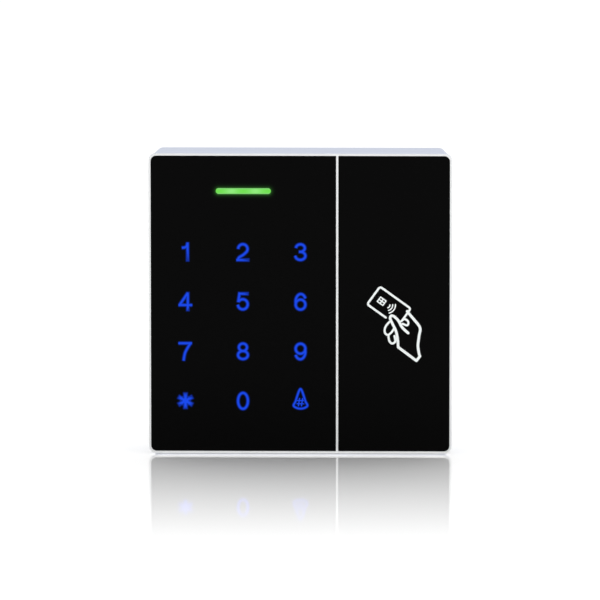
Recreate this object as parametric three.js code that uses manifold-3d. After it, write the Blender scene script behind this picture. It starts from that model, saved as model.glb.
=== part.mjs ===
// A keypad access reader for a wall: a wall plate, and a front unit that hooks on it and holds
// the board, the card antenna and two black touch panels. Sizes are millimetres.
//
// Every part is drawn as it is seen from the front: x to the right, y up, and z out from the
// wall, with the wall at z = 0. The exported group turns this to +Z up, front towards -Y.

import * as THREE from 'three';
import { mergeVertices } from 'three/addons/utils/BufferGeometryUtils.js';
import Module from 'manifold-3d';

const wasm = await Module();
wasm.setup();

// ---------------------------------------------------------------------------- driving sizes

const FRONT_SIZE = 120;
const FRONT_RADIUS = 3.1;
const RIM = 0.85;
const FLANGE = 2.9;
const DIVIDER_X = 14.6;
const DIVIDER_WIDTH = 0.85;
const PANE_RADIUS = 2.2;
const SHARP_RADIUS = 0.3;
const FIT_GAP = 0.15;
const PANEL_GAP = 0.08;

// Depths out from the wall, from the back to the front
const PLATE_FRONT = 2;
const RIB_FRONT = 3.4;
const HOUSING_BACK = 0.4;
const BOSS_BACK = 13.7;
const SHELF_BACK = 16;
const SHELF_FRONT = 17.8;
const PART_SEAT = 17.85;
const BOARD_BACK = 18;
const SKIRT_BACK = 18.4;
const BOARD_FRONT = 19.6;
const DIFFUSER_BACK = 19.8;
const HOUSING_FRONT = 19.9;
const BEZEL_BACK = 20.2;
const FLANGE_FRONT = 20.7;
const TAPE_BACK = 20.8;
const DIFFUSER_FRONT = 20.9;
const TAPE_FRONT = 21;
const PANEL_BACK = 21.1;
const PANEL_FRONT = 21.9;
const BEZEL_FRONT = 22;

// The housing widens from its back edge to its front edge
const HOUSING = {
  backWidth: 115, backHeight: 118.8, frontWidth: 119.2, frontHeight: 119.4, radius: 3, wall: 1.8,
};
const SKIRT = { gap: 0.2, wall: 1.2 };
const SHELF_WINDOW = { left: -53, right: 8.4, bottom: -52, top: 52, radius: 3 };

const PLATE = { width: 109.6, height: 113, radius: 2, ribInset: 1.5, ribWidth: 1.2 };
const POCKET = { depth: 0.8, rim: 5, middle: 8, radius: 3 };
const CABLE_HOLE = { x: 0, y: -20, width: 34, height: 24, radius: 5 };
const GROMMET = { back: 0.3, wall: 2.4, lip: 1.8, lipBack: 2.2, lipFront: 3.2 };
const FIXING_SLOT = { spacingX: 60, spacingY: 83.3, length: 9, width: 4.6, padFront: 3, padRim: 2 };
const HOOK = { x: 30, width: 10, armBottom: 53, armTop: 54.5, lipTop: 56.9, lipBack: 4.8, front: 6 };
const CATCH = { width: 12, bottom: 55.9, top: 57.9, back: 2.7, front: 3.9 };

// The lock screw stands upright at the bottom edge, under a tab of the wall plate
const LOCK = {
  z: 7.5, tabHalf: 5.5, tabBottom: -54, tabTop: -52.2, tabFront: 11.2, holeRadius: 1.9,
  bossHalf: 5, bossTop: -55.4, bossFront: 12.4, slotHalf: 1.8, recessHalf: 3.2, recessTop: -57.2,
  notchHalf: 6, notchTop: -54.4,
};
const LOCK_SCREW = {
  radius: 1.5, headRadius: 2.7, headBottom: -59, headTop: -57.3, tip: -49.6, point: 0.5,
};
const LOCK_SOCKET = { radius: 1.3, depth: 1, sides: 6 };
const LOCK_NUT = { size: 5.5, thick: 1.8, gap: 0.1, holeRadius: 1.65, cheek: 1, cheekGap: 0.2 };

const BOARD = { left: -56, right: 11, half: 55, radius: 1.5 };
const BOARD_SCREW = {
  left: -51.5, right: 7, y: 50.5, radius: 1, headRadius: 1.9, headThick: 0.9, length: 5, seatGap: 0.1,
};
const BOARD_BOSS_RADIUS = 3.2;
const SCREW_HOLE_RADIUS = 1.3;

const KEYS = { x: -22.7, y: -9.15, pitchX: 22.8, pitchY: 19.9, columns: 3, rows: 4 };
const LIGHT_BAR = { x: -22.5, y: 45, length: 21.6, height: 2.2, baseLength: 26, baseHeight: 4.6 };
const STATUS_LED_OFFSET = 4.75;
const LED = { width: 3.2, height: 2.2, back: 16.9, seat: 17.8, lensRadius: 1.1, lensFront: 19.2 };
const LED_HOLE_RADIUS = 1.5;
const DIFFUSER = { left: -54, right: 9.5, bottom: -46, top: 38, radius: 2 };

const COIL = { x: 37, y: 0, width: 34, height: 64, radius: 9, ring: 3.6, back: 18, front: 19.3 };
const FORMER = { gap: 0.4, wall: 1.2, front: 19 };
const LEAD_SLOT = { x: 14.2, y: -8.6, width: 5.2, height: 7, radius: 1 };
const LEAD_RADIUS = 0.45;
const LEAD_BEND = 2.4;

const TAMPER = {
  x: -11.3, y: -45, size: 6.2, back: 12.6, pinRadius: 1.6, tip: 6.9, holeRadius: 1.9, room: 1.2,
};
const STRIKER = { radius: 3.2, front: 6.6 };
const RESET = {
  x: -34.1, y: -46, size: 6, back: 14.3, pinRadius: 1.7, tip: 12.9, holeRadius: 2, room: 0.4,
};
const SWITCH_WELL = 2.4;
const SWITCH_EDGE = 0.3;

// What stands on the back of the board; tall is how far it stands out towards the wall
const SOCKET = { x: 1.5, y: -9.2, size: 6, tall: 5.6, holeRadius: 0.9, holeDepth: 1.6 };
const LEAD_END = { x: 4.5, z: 15 };
const leadPlaces = [-1.4, 1.4];
const TERMINAL = {
  x: -34, y: -29, ways: 8, pitch: 3.5, height: 7.6, tall: 8.5, releaseRadius: 0.9,
  entry: { width: 2.6, depth: 5, back: 2.6, front: 5.2 },
};
const RELAY = { x: -37, y: 32, width: 20, height: 10, tall: 10.6, radius: 0.8 };
const BUZZER = { x: -11.3, y: 32, radius: 6, tall: 8 };
const MCU = { x: -11.3, y: 10.7, width: 10, height: 10, tall: 1.6, legs: 8, pitch: 1.1, sides: 4 };
const READER_CHIP = { x: -11.3, y: -9.2, width: 8.7, height: 4, tall: 1.6, legs: 7, pitch: 1.2, sides: 2 };
const MEMORY_CHIP = { x: -11.3, y: -29, width: 5, height: 4, tall: 1.6, legs: 4, pitch: 1.2, sides: 2 };
const CRYSTAL = { x: -11.3, y: 20.8, width: 11.4, height: 4.7, tall: 3.6, radius: 2.2 };
const CAPACITORS = [
  { x: 2.8, y: 33, radius: 4, tall: 10.4 },
  { x: 1, y: 44, radius: 3.2, tall: 8.4 },
];
const CAPACITOR_GROOVE = { height: 1.6, half: 0.6, depth: 0.3 };
const BUZZER_HOLE = 1;
const CHIP_LEG = { share: 0.45, reach: 1, bottom: 0.3, top: 0.8 };
const REGULATOR = { x: -34, y: -9.2, width: 6.6, height: 6, tall: 2, legs: 3, pitch: 2.3, sides: 2 };
const INDUCTOR = { x: -34, y: 10.8, size: 8, baseTall: 1.2, baseRadius: 1.6, coreRadius: 3.6, tall: 4 };
const DIODE = { x: 3, y: 10.8, width: 2.6, height: 4.4, tall: 2.2, legs: 1, pitch: 3, sides: 2 };

const FINISHES = {
  silver: { color: 0xc3c8d2, roughness: 0.42, metalness: 0.35 },
  bezel: { color: 0xd3d5d6, roughness: 0.35, metalness: 0.45 },
  panel: { color: 0x0b0b0c, roughness: 0.08, metalness: 0 },
  plate: { color: 0x4c4f52, roughness: 0.6, metalness: 0 },
  rubber: { color: 0x161616, roughness: 0.85, metalness: 0 },
  steel: { color: 0xb4b6b8, roughness: 0.35, metalness: 1 },
  tape: { color: 0x1d1d1e, roughness: 0.9, metalness: 0 },
  diffuser: { color: 0xe9ecee, roughness: 0.5, metalness: 0 },
  greenLight: { color: 0x6feb45, roughness: 0.3, metalness: 0 },
  board: { color: 0x14542f, roughness: 0.4, metalness: 0 },
  led: { color: 0xf1eecb, roughness: 0.3, metalness: 0 },
  copper: { color: 0xb4632f, roughness: 0.35, metalness: 0.9 },
  darkPart: { color: 0x1a1b1c, roughness: 0.55, metalness: 0 },
  greenPart: { color: 0x2f7d46, roughness: 0.5, metalness: 0 },
  whitePart: { color: 0xe4e2d8, roughness: 0.5, metalness: 0 },
  can: { color: 0x9aa0a6, roughness: 0.3, metalness: 0.9 },
  sleeve: { color: 0x1c2b4a, roughness: 0.4, metalness: 0 },
  redPart: { color: 0xa02a22, roughness: 0.5, metalness: 0 },
};

// ---------------------------------------------------------------------------- shape helpers

const FULL_TURN = 2 * Math.PI;
const CORNER_STEPS = 3;
const CIRCLE_STEPS = 8;
const HOLE_STEPS = 6;
const TURNED_STEPS = 16;
const SCREW_STEPS = 24;
const CUT_PAST = 1;
const END_SLACK = 0.01;

// A rectangle with round corners; its left and right corners may differ
function roundedOutline(left, right, bottom, top, leftRadius, rightRadius = leftRadius) {
  const outline = new THREE.Shape();
  const quarter = Math.PI / 2;
  outline.absarc(right - rightRadius, top - rightRadius, rightRadius, 0, quarter, false);
  outline.absarc(left + leftRadius, top - leftRadius, leftRadius, quarter, 2 * quarter, false);
  outline.absarc(left + leftRadius, bottom + leftRadius, leftRadius, 2 * quarter, 3 * quarter, false);
  outline.absarc(right - rightRadius, bottom + rightRadius, rightRadius, 3 * quarter, FULL_TURN, false);
  return outline;
}

function centredOutline(width, height, radius, x = 0, y = 0) {
  return roundedOutline(x - width / 2, x + width / 2, y - height / 2, y + height / 2, radius);
}

// A long outline with full-round ends
function stadiumOutline(width, height, x = 0, y = 0) {
  return centredOutline(width, height, Math.min(width, height) / 2 - END_SLACK, x, y);
}

// A flat piece with a drawn outline, between two depths
function slab(outline, back, front, steps = CORNER_STEPS) {
  const options = { depth: front - back, bevelEnabled: false, curveSegments: steps };
  return new THREE.ExtrudeGeometry(outline, options).translate(0, 0, back);
}

function disc(radius, back, front, x = 0, y = 0, steps = CIRCLE_STEPS) {
  const outline = new THREE.Shape();
  outline.absarc(x, y, radius, 0, FULL_TURN, false);
  return slab(outline, back, front, steps);
}

// A plain block between two corners
function block([left, bottom, back], [right, top, front]) {
  const geometry = new THREE.BoxGeometry(right - left, top - bottom, front - back);
  return geometry.translate((left + right) / 2, (bottom + top) / 2, (back + front) / 2);
}

// A round piece on the z axis, from [radius, z] points that start and end on the axis
function turned(points, steps = TURNED_STEPS) {
  const profile = points.map(([radius, z]) => new THREE.Vector2(radius, z));
  return new THREE.LatheGeometry(profile, steps).rotateX(Math.PI / 2);
}

function solid(geometry) {
  const bare = geometry.clone();
  bare.deleteAttribute('normal');
  bare.deleteAttribute('uv');
  const merged = mergeVertices(bare);
  const mesh = new wasm.Mesh({
    numProp: 3,
    vertProperties: Float32Array.from(merged.attributes.position.array),
    triVerts: Uint32Array.from(merged.index.array),
  });
  return new wasm.Manifold(mesh);
}

function geometryOf(body) {
  const mesh = body.getMesh();
  const geometry = new THREE.BufferGeometry();
  geometry.setAttribute('position', new THREE.BufferAttribute(mesh.vertProperties, 3));
  geometry.setIndex(new THREE.BufferAttribute(mesh.triVerts, 1));
  return geometry;
}

function join(first, ...others) {
  return geometryOf(others.reduce((body, other) => body.add(solid(other)), solid(first)));
}

function cut(first, ...tools) {
  return geometryOf(tools.reduce((body, tool) => body.subtract(solid(tool)), solid(first)));
}

// ---------------------------------------------------------------------------- the scene graph

const reader = new THREE.Group();
reader.rotation.x = Math.PI / 2;

function addPart(name, geometry, finish, [x, y, z] = [0, 0, 0]) {
  const mesh = new THREE.Mesh(geometry, new THREE.MeshStandardMaterial(FINISHES[finish]));
  mesh.name = name;
  mesh.position.set(x, y, z);
  reader.add(mesh);
}

// ---------------------------------------------------------------------------- the wall plate

function slotOutline(x, y, length, width, upright) {
  return upright ? stadiumOutline(width, length, x, y) : stadiumOutline(length, width, x, y);
}

const fixingSlots = [
  [-FIXING_SLOT.spacingX / 2, 0, false],
  [FIXING_SLOT.spacingX / 2, 0, false],
  [0, -FIXING_SLOT.spacingY / 2, true],
  [0, FIXING_SLOT.spacingY / 2, true],
];

function plateRing(inset, width, back, front) {
  const outer = centredOutline(PLATE.width - 2 * inset, PLATE.height - 2 * inset, PLATE.radius);
  const inner = inset + width;
  const hole = centredOutline(PLATE.width - 2 * inner, PLATE.height - 2 * inner, PLATE.radius);
  return cut(slab(outer, back, front), slab(hole, back - CUT_PAST, front + CUT_PAST));
}

function hook(x) {
  const left = x - HOOK.width / 2;
  const right = x + HOOK.width / 2;
  const arm = block([left, HOOK.armBottom, PLATE_FRONT - CUT_PAST], [right, HOOK.armTop, HOOK.front]);
  const lip = block([left, HOOK.armBottom, HOOK.lipBack], [right, HOOK.lipTop, HOOK.front]);
  return join(arm, lip);
}

function lockTab() {
  const half = LOCK.tabHalf;
  const shelf = block([-half, LOCK.tabBottom, PLATE_FRONT - CUT_PAST], [half, LOCK.tabTop, LOCK.tabFront]);
  const nutHalf = LOCK_NUT.size / 2 + LOCK_NUT.cheekGap;
  const cheekTop = LOCK.tabTop + LOCK_NUT.gap + LOCK_NUT.thick;
  const cheeks = [-1, 1].map((side) => {
    const sides = [side * nutHalf, side * (nutHalf + LOCK_NUT.cheek)].sort((a, b) => a - b);
    return block([sides[0], LOCK.tabBottom, PLATE_FRONT - CUT_PAST], [sides[1], cheekTop, LOCK.tabFront]);
  });
  return cut(join(shelf, ...cheeks), lockHole(LOCK.holeRadius));
}

// An upright round hole on the lock screw's axis
function lockHole(radius) {
  const length = 30;
  const hole = new THREE.CylinderGeometry(radius, radius, length, SCREW_STEPS);
  return hole.translate(0, LOCK.tabTop, LOCK.z);
}

// Shallow pockets in the back that leave a rim, a cross and a band round the cable hole
function backPockets() {
  const { depth, rim, middle, radius } = POCKET;
  const right = PLATE.width / 2 - rim;
  const top = PLATE.height / 2 - rim;
  const beside = CABLE_HOLE.width / 2 + middle / 2;
  const corners = [[middle, top], [beside, -top]];
  return corners.flatMap(([inner, outer]) => [-1, 1].map((side) => {
    const [low, high] = [side * inner, side * right].sort((a, b) => a - b);
    const [bottom, upper] = [Math.sign(outer) * middle, outer].sort((a, b) => a - b);
    return slab(roundedOutline(low, high, bottom, upper, radius), -CUT_PAST, depth);
  }));
}

function wallPlate() {
  const base = slab(centredOutline(PLATE.width, PLATE.height, PLATE.radius), 0, PLATE_FRONT);
  const pads = fixingSlots.map(([x, y, upright]) => {
    const rim = 2 * FIXING_SLOT.padRim;
    const outline = slotOutline(x, y, FIXING_SLOT.length + rim, FIXING_SLOT.width + rim, upright);
    return slab(outline, PLATE_FRONT - CUT_PAST, FIXING_SLOT.padFront, CIRCLE_STEPS / 2);
  });
  const striker = disc(STRIKER.radius, PLATE_FRONT - CUT_PAST, STRIKER.front, TAMPER.x, TAMPER.y);
  const rib = plateRing(PLATE.ribInset, PLATE.ribWidth, PLATE_FRONT - CUT_PAST, RIB_FRONT);
  const hooks = [-HOOK.x, HOOK.x].map(hook);
  const slots = fixingSlots.map(([x, y, upright]) => {
    const outline = slotOutline(x, y, FIXING_SLOT.length, FIXING_SLOT.width, upright);
    return slab(outline, -CUT_PAST, FIXING_SLOT.padFront + CUT_PAST, CIRCLE_STEPS / 2);
  });
  const { x, y, width, height, radius } = CABLE_HOLE;
  const cableHole = slab(centredOutline(width, height, radius, x, y), -CUT_PAST, RIB_FRONT + CUT_PAST);
  const past = RIB_FRONT + CUT_PAST;
  const notch = block([-LOCK.notchHalf, -PLATE.height, -CUT_PAST], [LOCK.notchHalf, LOCK.notchTop, past]);
  const body = join(base, ...pads, striker, rib, ...hooks);
  const plate = cut(body, ...slots, ...backPockets(), cableHole, notch);
  return join(plate, lockTab());
}

function cableGrommet() {
  const ring = (grow, back, front) => {
    const { x, y, width, height, radius } = CABLE_HOLE;
    const outline = centredOutline(width + 2 * grow, height + 2 * grow, radius + grow, x, y);
    return slab(outline, back, front);
  };
  const sleeve = ring(-FIT_GAP, GROMMET.back, GROMMET.lipFront);
  const lip = ring(GROMMET.lip, GROMMET.lipBack, GROMMET.lipFront);
  return cut(join(sleeve, lip), ring(-GROMMET.wall, -CUT_PAST, GROMMET.lipFront + CUT_PAST));
}

// The screw and its nut, upright: three.js turns a profile about y, which is their own axis
function lockScrew() {
  const { radius, headRadius, headBottom, headTop, tip, point } = LOCK_SCREW;
  const profile = [
    [0, headBottom], [headRadius, headBottom], [headRadius, headTop], [radius, headTop],
    [radius, tip - point], [radius - point, tip], [0, tip],
  ];
  const vectors = profile.map(([r, y]) => new THREE.Vector2(r, y));
  const shank = new THREE.LatheGeometry(vectors, SCREW_STEPS).translate(0, 0, LOCK.z);
  const { radius: socketRadius, depth, sides } = LOCK_SOCKET;
  const socket = new THREE.CylinderGeometry(socketRadius, socketRadius, 2 * depth, sides);
  return cut(shank, socket.translate(0, headBottom, LOCK.z));
}

function lockNut() {
  const bottom = LOCK.tabTop + LOCK_NUT.gap;
  const half = LOCK_NUT.size / 2;
  const body = block([-half, bottom, LOCK.z - half], [half, bottom + LOCK_NUT.thick, LOCK.z + half]);
  return cut(body, lockHole(LOCK_NUT.holeRadius));
}

addPart('wall_plate', wallPlate(), 'plate');
addPart('cable_grommet', cableGrommet(), 'rubber');
addPart('lock_nut', lockNut(), 'steel');
addPart('lock_screw', lockScrew(), 'steel');

// ---------------------------------------------------------------------------- the housing

// The housing's tapered outline, set in by a wall, between two depths
function housingBlock(inset, back, front) {
  const sizeAt = (z) => {
    const part = (z - HOUSING_BACK) / (HOUSING_FRONT - HOUSING_BACK);
    const width = THREE.MathUtils.lerp(HOUSING.backWidth, HOUSING.frontWidth, part) - 2 * inset;
    const height = THREE.MathUtils.lerp(HOUSING.backHeight, HOUSING.frontHeight, part) - 2 * inset;
    return { width, height };
  };
  const far = sizeAt(front);
  const near = sizeAt(back);
  const radius = Math.max(HOUSING.radius - inset, SHARP_RADIUS);
  const geometry = slab(centredOutline(far.width, far.height, radius), back, front);
  const places = geometry.attributes.position;
  for (let i = 0; i < places.count; i += 1) {
    if (places.getZ(i) < (back + front) / 2) {
      places.setX(i, places.getX(i) * near.width / far.width);
      places.setY(i, places.getY(i) * near.height / far.height);
    }
  }
  return geometry;
}

const boardScrewPlaces = [
  [BOARD_SCREW.left, BOARD_SCREW.y],
  [BOARD_SCREW.right, BOARD_SCREW.y],
  [BOARD_SCREW.left, -BOARD_SCREW.y],
  [BOARD_SCREW.right, -BOARD_SCREW.y],
];

function coilRing(outerGrow, wall, back, front) {
  const ring = (grow, from, to) => {
    const { x, y, width, height, radius } = COIL;
    const outline = centredOutline(width + 2 * grow, height + 2 * grow, radius + grow, x, y);
    return slab(outline, from, to, 2 * CORNER_STEPS);
  };
  return cut(ring(outerGrow, back, front), ring(outerGrow - wall, back - CUT_PAST, front + CUT_PAST));
}

function housing() {
  const { wall } = HOUSING;
  const { left, right, bottom, top, radius } = SHELF_WINDOW;
  const shell = cut(
    housingBlock(0, HOUSING_BACK, HOUSING_FRONT),
    housingBlock(wall, HOUSING_BACK - CUT_PAST, SHELF_BACK),
    housingBlock(wall, SHELF_FRONT, HOUSING_FRONT + CUT_PAST),
    slab(roundedOutline(left, right, bottom, top, radius), SHELF_BACK - CUT_PAST, SHELF_FRONT + CUT_PAST),
  );
  const bosses = boardScrewPlaces.map(([x, y]) => disc(BOARD_BOSS_RADIUS, BOSS_BACK, SHELF_FRONT, x, y));
  const catches = [-HOOK.x, HOOK.x].map((x) => block(
    [x - CATCH.width / 2, CATCH.bottom, CATCH.back],
    [x + CATCH.width / 2, CATCH.top, CATCH.front],
  ));
  const lockBoss = block(
    [-LOCK.bossHalf, LOCK.recessTop - wall / 2, HOUSING_BACK],
    [LOCK.bossHalf, LOCK.bossTop, LOCK.bossFront],
  );
  const former = coilRing(-COIL.ring - FORMER.gap, FORMER.wall, SHELF_FRONT - CUT_PAST, FORMER.front);
  const pilotHoles = boardScrewPlaces.map(([x, y]) => (
    disc(SCREW_HOLE_RADIUS, BOSS_BACK + CUT_PAST / 2, HOUSING_FRONT, x, y, HOLE_STEPS)
  ));
  const leadSlot = slab(
    centredOutline(LEAD_SLOT.width, LEAD_SLOT.height, LEAD_SLOT.radius, LEAD_SLOT.x, LEAD_SLOT.y),
    SHELF_BACK - CUT_PAST,
    SHELF_FRONT + CUT_PAST,
  );
  return cut(join(shell, ...bosses, ...catches, lockBoss, former), ...pilotHoles, leadSlot, ...lockCuts());
}

// The slot for the lock screw and the recess for its head, both open to the back edge
function lockCuts() {
  const low = -FRONT_SIZE;
  const slot = block([-LOCK.slotHalf, low, -CUT_PAST], [LOCK.slotHalf, LOCK.bossTop + CUT_PAST, LOCK.z]);
  const length = 20;
  const slotEnd = new THREE.CylinderGeometry(LOCK.slotHalf, LOCK.slotHalf, length, SCREW_STEPS);
  slotEnd.translate(0, LOCK.recessTop, LOCK.z);
  const recess = block([-LOCK.recessHalf, low, -CUT_PAST], [LOCK.recessHalf, LOCK.recessTop, LOCK.z]);
  const recessEnd = new THREE.CylinderGeometry(LOCK.recessHalf, LOCK.recessHalf, length, SCREW_STEPS);
  recessEnd.translate(0, LOCK.recessTop - length / 2, LOCK.z);
  return [slot, slotEnd, recess, recessEnd];
}

addPart('housing', housing(), 'silver');

// ---------------------------------------------------------------------------- bezel and panels

const frontHalf = FRONT_SIZE / 2;
const PANES = {
  keypad: {
    left: -frontHalf + RIM,
    right: DIVIDER_X - DIVIDER_WIDTH / 2,
    leftRadius: PANE_RADIUS,
    rightRadius: SHARP_RADIUS,
  },
  card: {
    left: DIVIDER_X + DIVIDER_WIDTH / 2,
    right: frontHalf - RIM,
    leftRadius: SHARP_RADIUS,
    rightRadius: PANE_RADIUS,
  },
};

function paneOutline(pane, inset) {
  const { left, right, leftRadius, rightRadius } = pane;
  const half = frontHalf - RIM - inset;
  return roundedOutline(left + inset, right - inset, -half, half, leftRadius, rightRadius);
}

// The rim and divider, on a thin web, with a skirt that stands inside the housing's wall
function bezelFrame() {
  const outline = centredOutline(FRONT_SIZE, FRONT_SIZE, FRONT_RADIUS);
  const frame = slab(outline, BEZEL_BACK, BEZEL_FRONT, 2 * CORNER_STEPS);
  const skirtInset = HOUSING.wall + SKIRT.gap;
  const skirt = cut(
    housingBlock(skirtInset, SKIRT_BACK, BEZEL_BACK + SKIRT.gap),
    housingBlock(skirtInset + SKIRT.wall, SKIRT_BACK - CUT_PAST, BEZEL_FRONT),
  );
  const panes = Object.values(PANES);
  const pockets = panes.map((pane) => slab(paneOutline(pane, 0), FLANGE_FRONT, BEZEL_FRONT + CUT_PAST));
  const windows = panes.map((pane) => slab(paneOutline(pane, FLANGE), BEZEL_BACK - CUT_PAST, BEZEL_FRONT));
  return cut(join(frame, skirt), ...pockets, ...windows);
}

function lightBar(grow, back, front) {
  const { x, y, length, height } = LIGHT_BAR;
  const outline = stadiumOutline(length + 2 * grow, height + 2 * grow, x, y);
  return slab(outline, back, front, 2 * CORNER_STEPS);
}

function keypadPanel() {
  const glass = slab(paneOutline(PANES.keypad, PANEL_GAP), PANEL_BACK, PANEL_FRONT);
  return cut(glass, lightBar(PANEL_GAP, PANEL_BACK - CUT_PAST, PANEL_FRONT + CUT_PAST));
}

function statusLightPipe() {
  const { x, y, baseLength, baseHeight } = LIGHT_BAR;
  const base = slab(centredOutline(baseLength, baseHeight, 1, x, y), DIFFUSER_BACK, DIFFUSER_FRONT);
  return join(base, lightBar(0, DIFFUSER_BACK, PANEL_FRONT));
}

function panelTape(pane) {
  const outer = slab(paneOutline(pane, 2 * FIT_GAP), TAPE_BACK, TAPE_FRONT);
  const inner = slab(paneOutline(pane, FLANGE - FIT_GAP), TAPE_BACK - CUT_PAST, TAPE_FRONT + CUT_PAST);
  return cut(outer, inner);
}

function diffuserPlate() {
  const { left, right, bottom, top, radius } = DIFFUSER;
  return slab(roundedOutline(left, right, bottom, top, radius), DIFFUSER_BACK, DIFFUSER_FRONT);
}

addPart('bezel_frame', bezelFrame(), 'bezel');
addPart('keypad_panel', keypadPanel(), 'panel');
addPart('card_panel', slab(paneOutline(PANES.card, PANEL_GAP), PANEL_BACK, PANEL_FRONT), 'panel');
addPart('keypad_panel_tape', panelTape(PANES.keypad), 'tape');
addPart('card_panel_tape', panelTape(PANES.card), 'tape');
addPart('diffuser_plate', diffuserPlate(), 'diffuser');
addPart('status_light_pipe', statusLightPipe(), 'greenLight');

// ---------------------------------------------------------------------------- board and lights

const keyPlaces = [];
for (let row = 0; row < KEYS.rows; row += 1) {
  for (let column = 0; column < KEYS.columns; column += 1) {
    const x = KEYS.x + (column - (KEYS.columns - 1) / 2) * KEYS.pitchX;
    const y = KEYS.y - (row - (KEYS.rows - 1) / 2) * KEYS.pitchY;
    keyPlaces.push([x, y]);
  }
}
const statusPlaces = [-1, 1].map((side) => [LIGHT_BAR.x + side * STATUS_LED_OFFSET, LIGHT_BAR.y]);

function mainBoard() {
  const { left, right, half, radius } = BOARD;
  const sheet = slab(roundedOutline(left, right, -half, half, radius), BOARD_BACK, BOARD_FRONT);
  const hole = (size) => ([x, y]) => (
    disc(size, BOARD_BACK - CUT_PAST, BOARD_FRONT + CUT_PAST, x, y, HOLE_STEPS)
  );
  const ledHoles = [...keyPlaces, ...statusPlaces].map(hole(LED_HOLE_RADIUS));
  return cut(sheet, ...ledHoles, ...boardScrewPlaces.map(hole(SCREW_HOLE_RADIUS)));
}

// A light under its hole in the board, with its lens up in the hole
function led() {
  const body = slab(centredOutline(LED.width, LED.height, 0.3), LED.back, LED.seat, 1);
  return join(body, disc(LED.lensRadius, LED.seat - CUT_PAST / 2, LED.lensFront, 0, 0, HOLE_STEPS));
}

function boardScrew() {
  const { radius, headRadius, headThick, length, seatGap } = BOARD_SCREW;
  const seat = BOARD_FRONT + seatGap;
  return turned([
    [0, seat - length], [radius / 2, seat - length], [radius, seat - length + radius], [radius, seat],
    [headRadius, seat], [headRadius, seat + headThick / 2], [headRadius / 2, seat + headThick],
    [0, seat + headThick],
  ]);
}

addPart('main_board', mainBoard(), 'board');
keyPlaces.forEach(([x, y], index) => addPart(`key_led_${index + 1}`, led(), 'led', [x, y, 0]));
statusPlaces.forEach(([x, y], index) => {
  addPart(`status_led_${['left', 'right'][index]}`, led(), 'led', [x, y, 0]);
});
boardScrewPlaces.forEach(([x, y], index) => {
  addPart(`board_screw_${index + 1}`, boardScrew(), 'steel', [x, y, 0]);
});

// ---------------------------------------------------------------------------- parts on the board

// A box-shaped part on the back of the board, as tall as it stands back from the board
function boardPart(width, height, tall, radius = 0.3) {
  return slab(centredOutline(width, height, radius), PART_SEAT - tall, PART_SEAT, 2);
}

// A chip with legs on two or on all four sides
function chip({ width, height, tall, legs, pitch, sides }) {
  const body = boardPart(width, height, tall);
  const pieces = [];
  for (let index = 0; index < legs; index += 1) {
    const along = (index - (legs - 1) / 2) * pitch;
    const half = CHIP_LEG.share * pitch / 2;
    const back = PART_SEAT - CHIP_LEG.top;
    const front = PART_SEAT - CHIP_LEG.bottom;
    const rise = height / 2 + CHIP_LEG.reach;
    const reach = width / 2 + CHIP_LEG.reach;
    pieces.push(block([along - half, -rise, back], [along + half, rise, front]));
    if (sides === 4) pieces.push(block([-reach, along - half, back], [reach, along + half, front]));
  }
  return join(body, ...pieces);
}

function relay() {
  return boardPart(RELAY.width, RELAY.height, RELAY.tall, RELAY.radius);
}

function crystal() {
  return boardPart(CRYSTAL.width, CRYSTAL.height, CRYSTAL.tall, CRYSTAL.radius);
}

function capacitor(radius, tall) {
  const back = PART_SEAT - tall;
  const { height, half, depth } = CAPACITOR_GROOVE;
  const groove = PART_SEAT - height;
  return turned([
    [0, back], [radius - half, back], [radius, back + half], [radius, groove - half],
    [radius - depth, groove], [radius, groove + half], [radius, PART_SEAT], [0, PART_SEAT],
  ]);
}

function buzzer(radius, tall) {
  const back = PART_SEAT - tall;
  const hole = BUZZER_HOLE;
  const edge = hole / 2;
  return turned([
    [0, back + hole], [hole, back + hole], [hole, back], [radius - edge, back],
    [radius, back + edge], [radius, PART_SEAT], [0, PART_SEAT],
  ]);
}

function powerInductor() {
  const { size, baseTall, baseRadius, coreRadius, tall } = INDUCTOR;
  const base = boardPart(size, size, baseTall, baseRadius);
  return join(base, disc(coreRadius, PART_SEAT - tall, PART_SEAT - baseTall / 2));
}

// A row of wire entries along the lower side, each with a release hole in the back
function wiringTerminal() {
  const { ways, pitch, height, tall, entry, releaseRadius } = TERMINAL;
  const back = PART_SEAT - tall;
  const body = boardPart(ways * pitch, height, tall, 0.4);
  const holes = [];
  for (let way = 0; way < ways; way += 1) {
    const x = (way - (ways - 1) / 2) * pitch;
    const half = entry.width / 2;
    const low = -height / 2;
    const outer = [x - half, low - CUT_PAST, back + entry.back];
    const inner = [x + half, low + entry.depth, back + entry.front];
    holes.push(block(outer, inner));
    holes.push(disc(releaseRadius, back - CUT_PAST, back + entry.back / 2, x, height / 5, 4));
  }
  return cut(body, ...holes);
}

function antennaSocket() {
  const { size, tall, holeRadius, holeDepth } = SOCKET;
  const holes = leadPlaces.map((y) => {
    const hole = new THREE.CylinderGeometry(holeRadius, holeRadius, 2 * holeDepth, 10);
    return hole.rotateZ(Math.PI / 2).translate(size / 2, y, LEAD_END.z);
  });
  return cut(boardPart(size, size, tall), ...holes);
}

// A square switch with a round well for the piece that moves in it
function switchBody({ size, back, holeRadius }) {
  const body = slab(centredOutline(size, size, 0.5), back, PART_SEAT, 2);
  return cut(body, disc(holeRadius, back - CUT_PAST, back + SWITCH_WELL));
}

// The moving piece of a switch: its foot stands in the well with room for its travel
function switchPin({ pinRadius, tip, back, room }) {
  const foot = back + SWITCH_WELL - room;
  return turned([
    [0, tip], [pinRadius - SWITCH_EDGE, tip], [pinRadius, tip + SWITCH_EDGE], [pinRadius, foot], [0, foot],
  ]);
}

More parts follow.
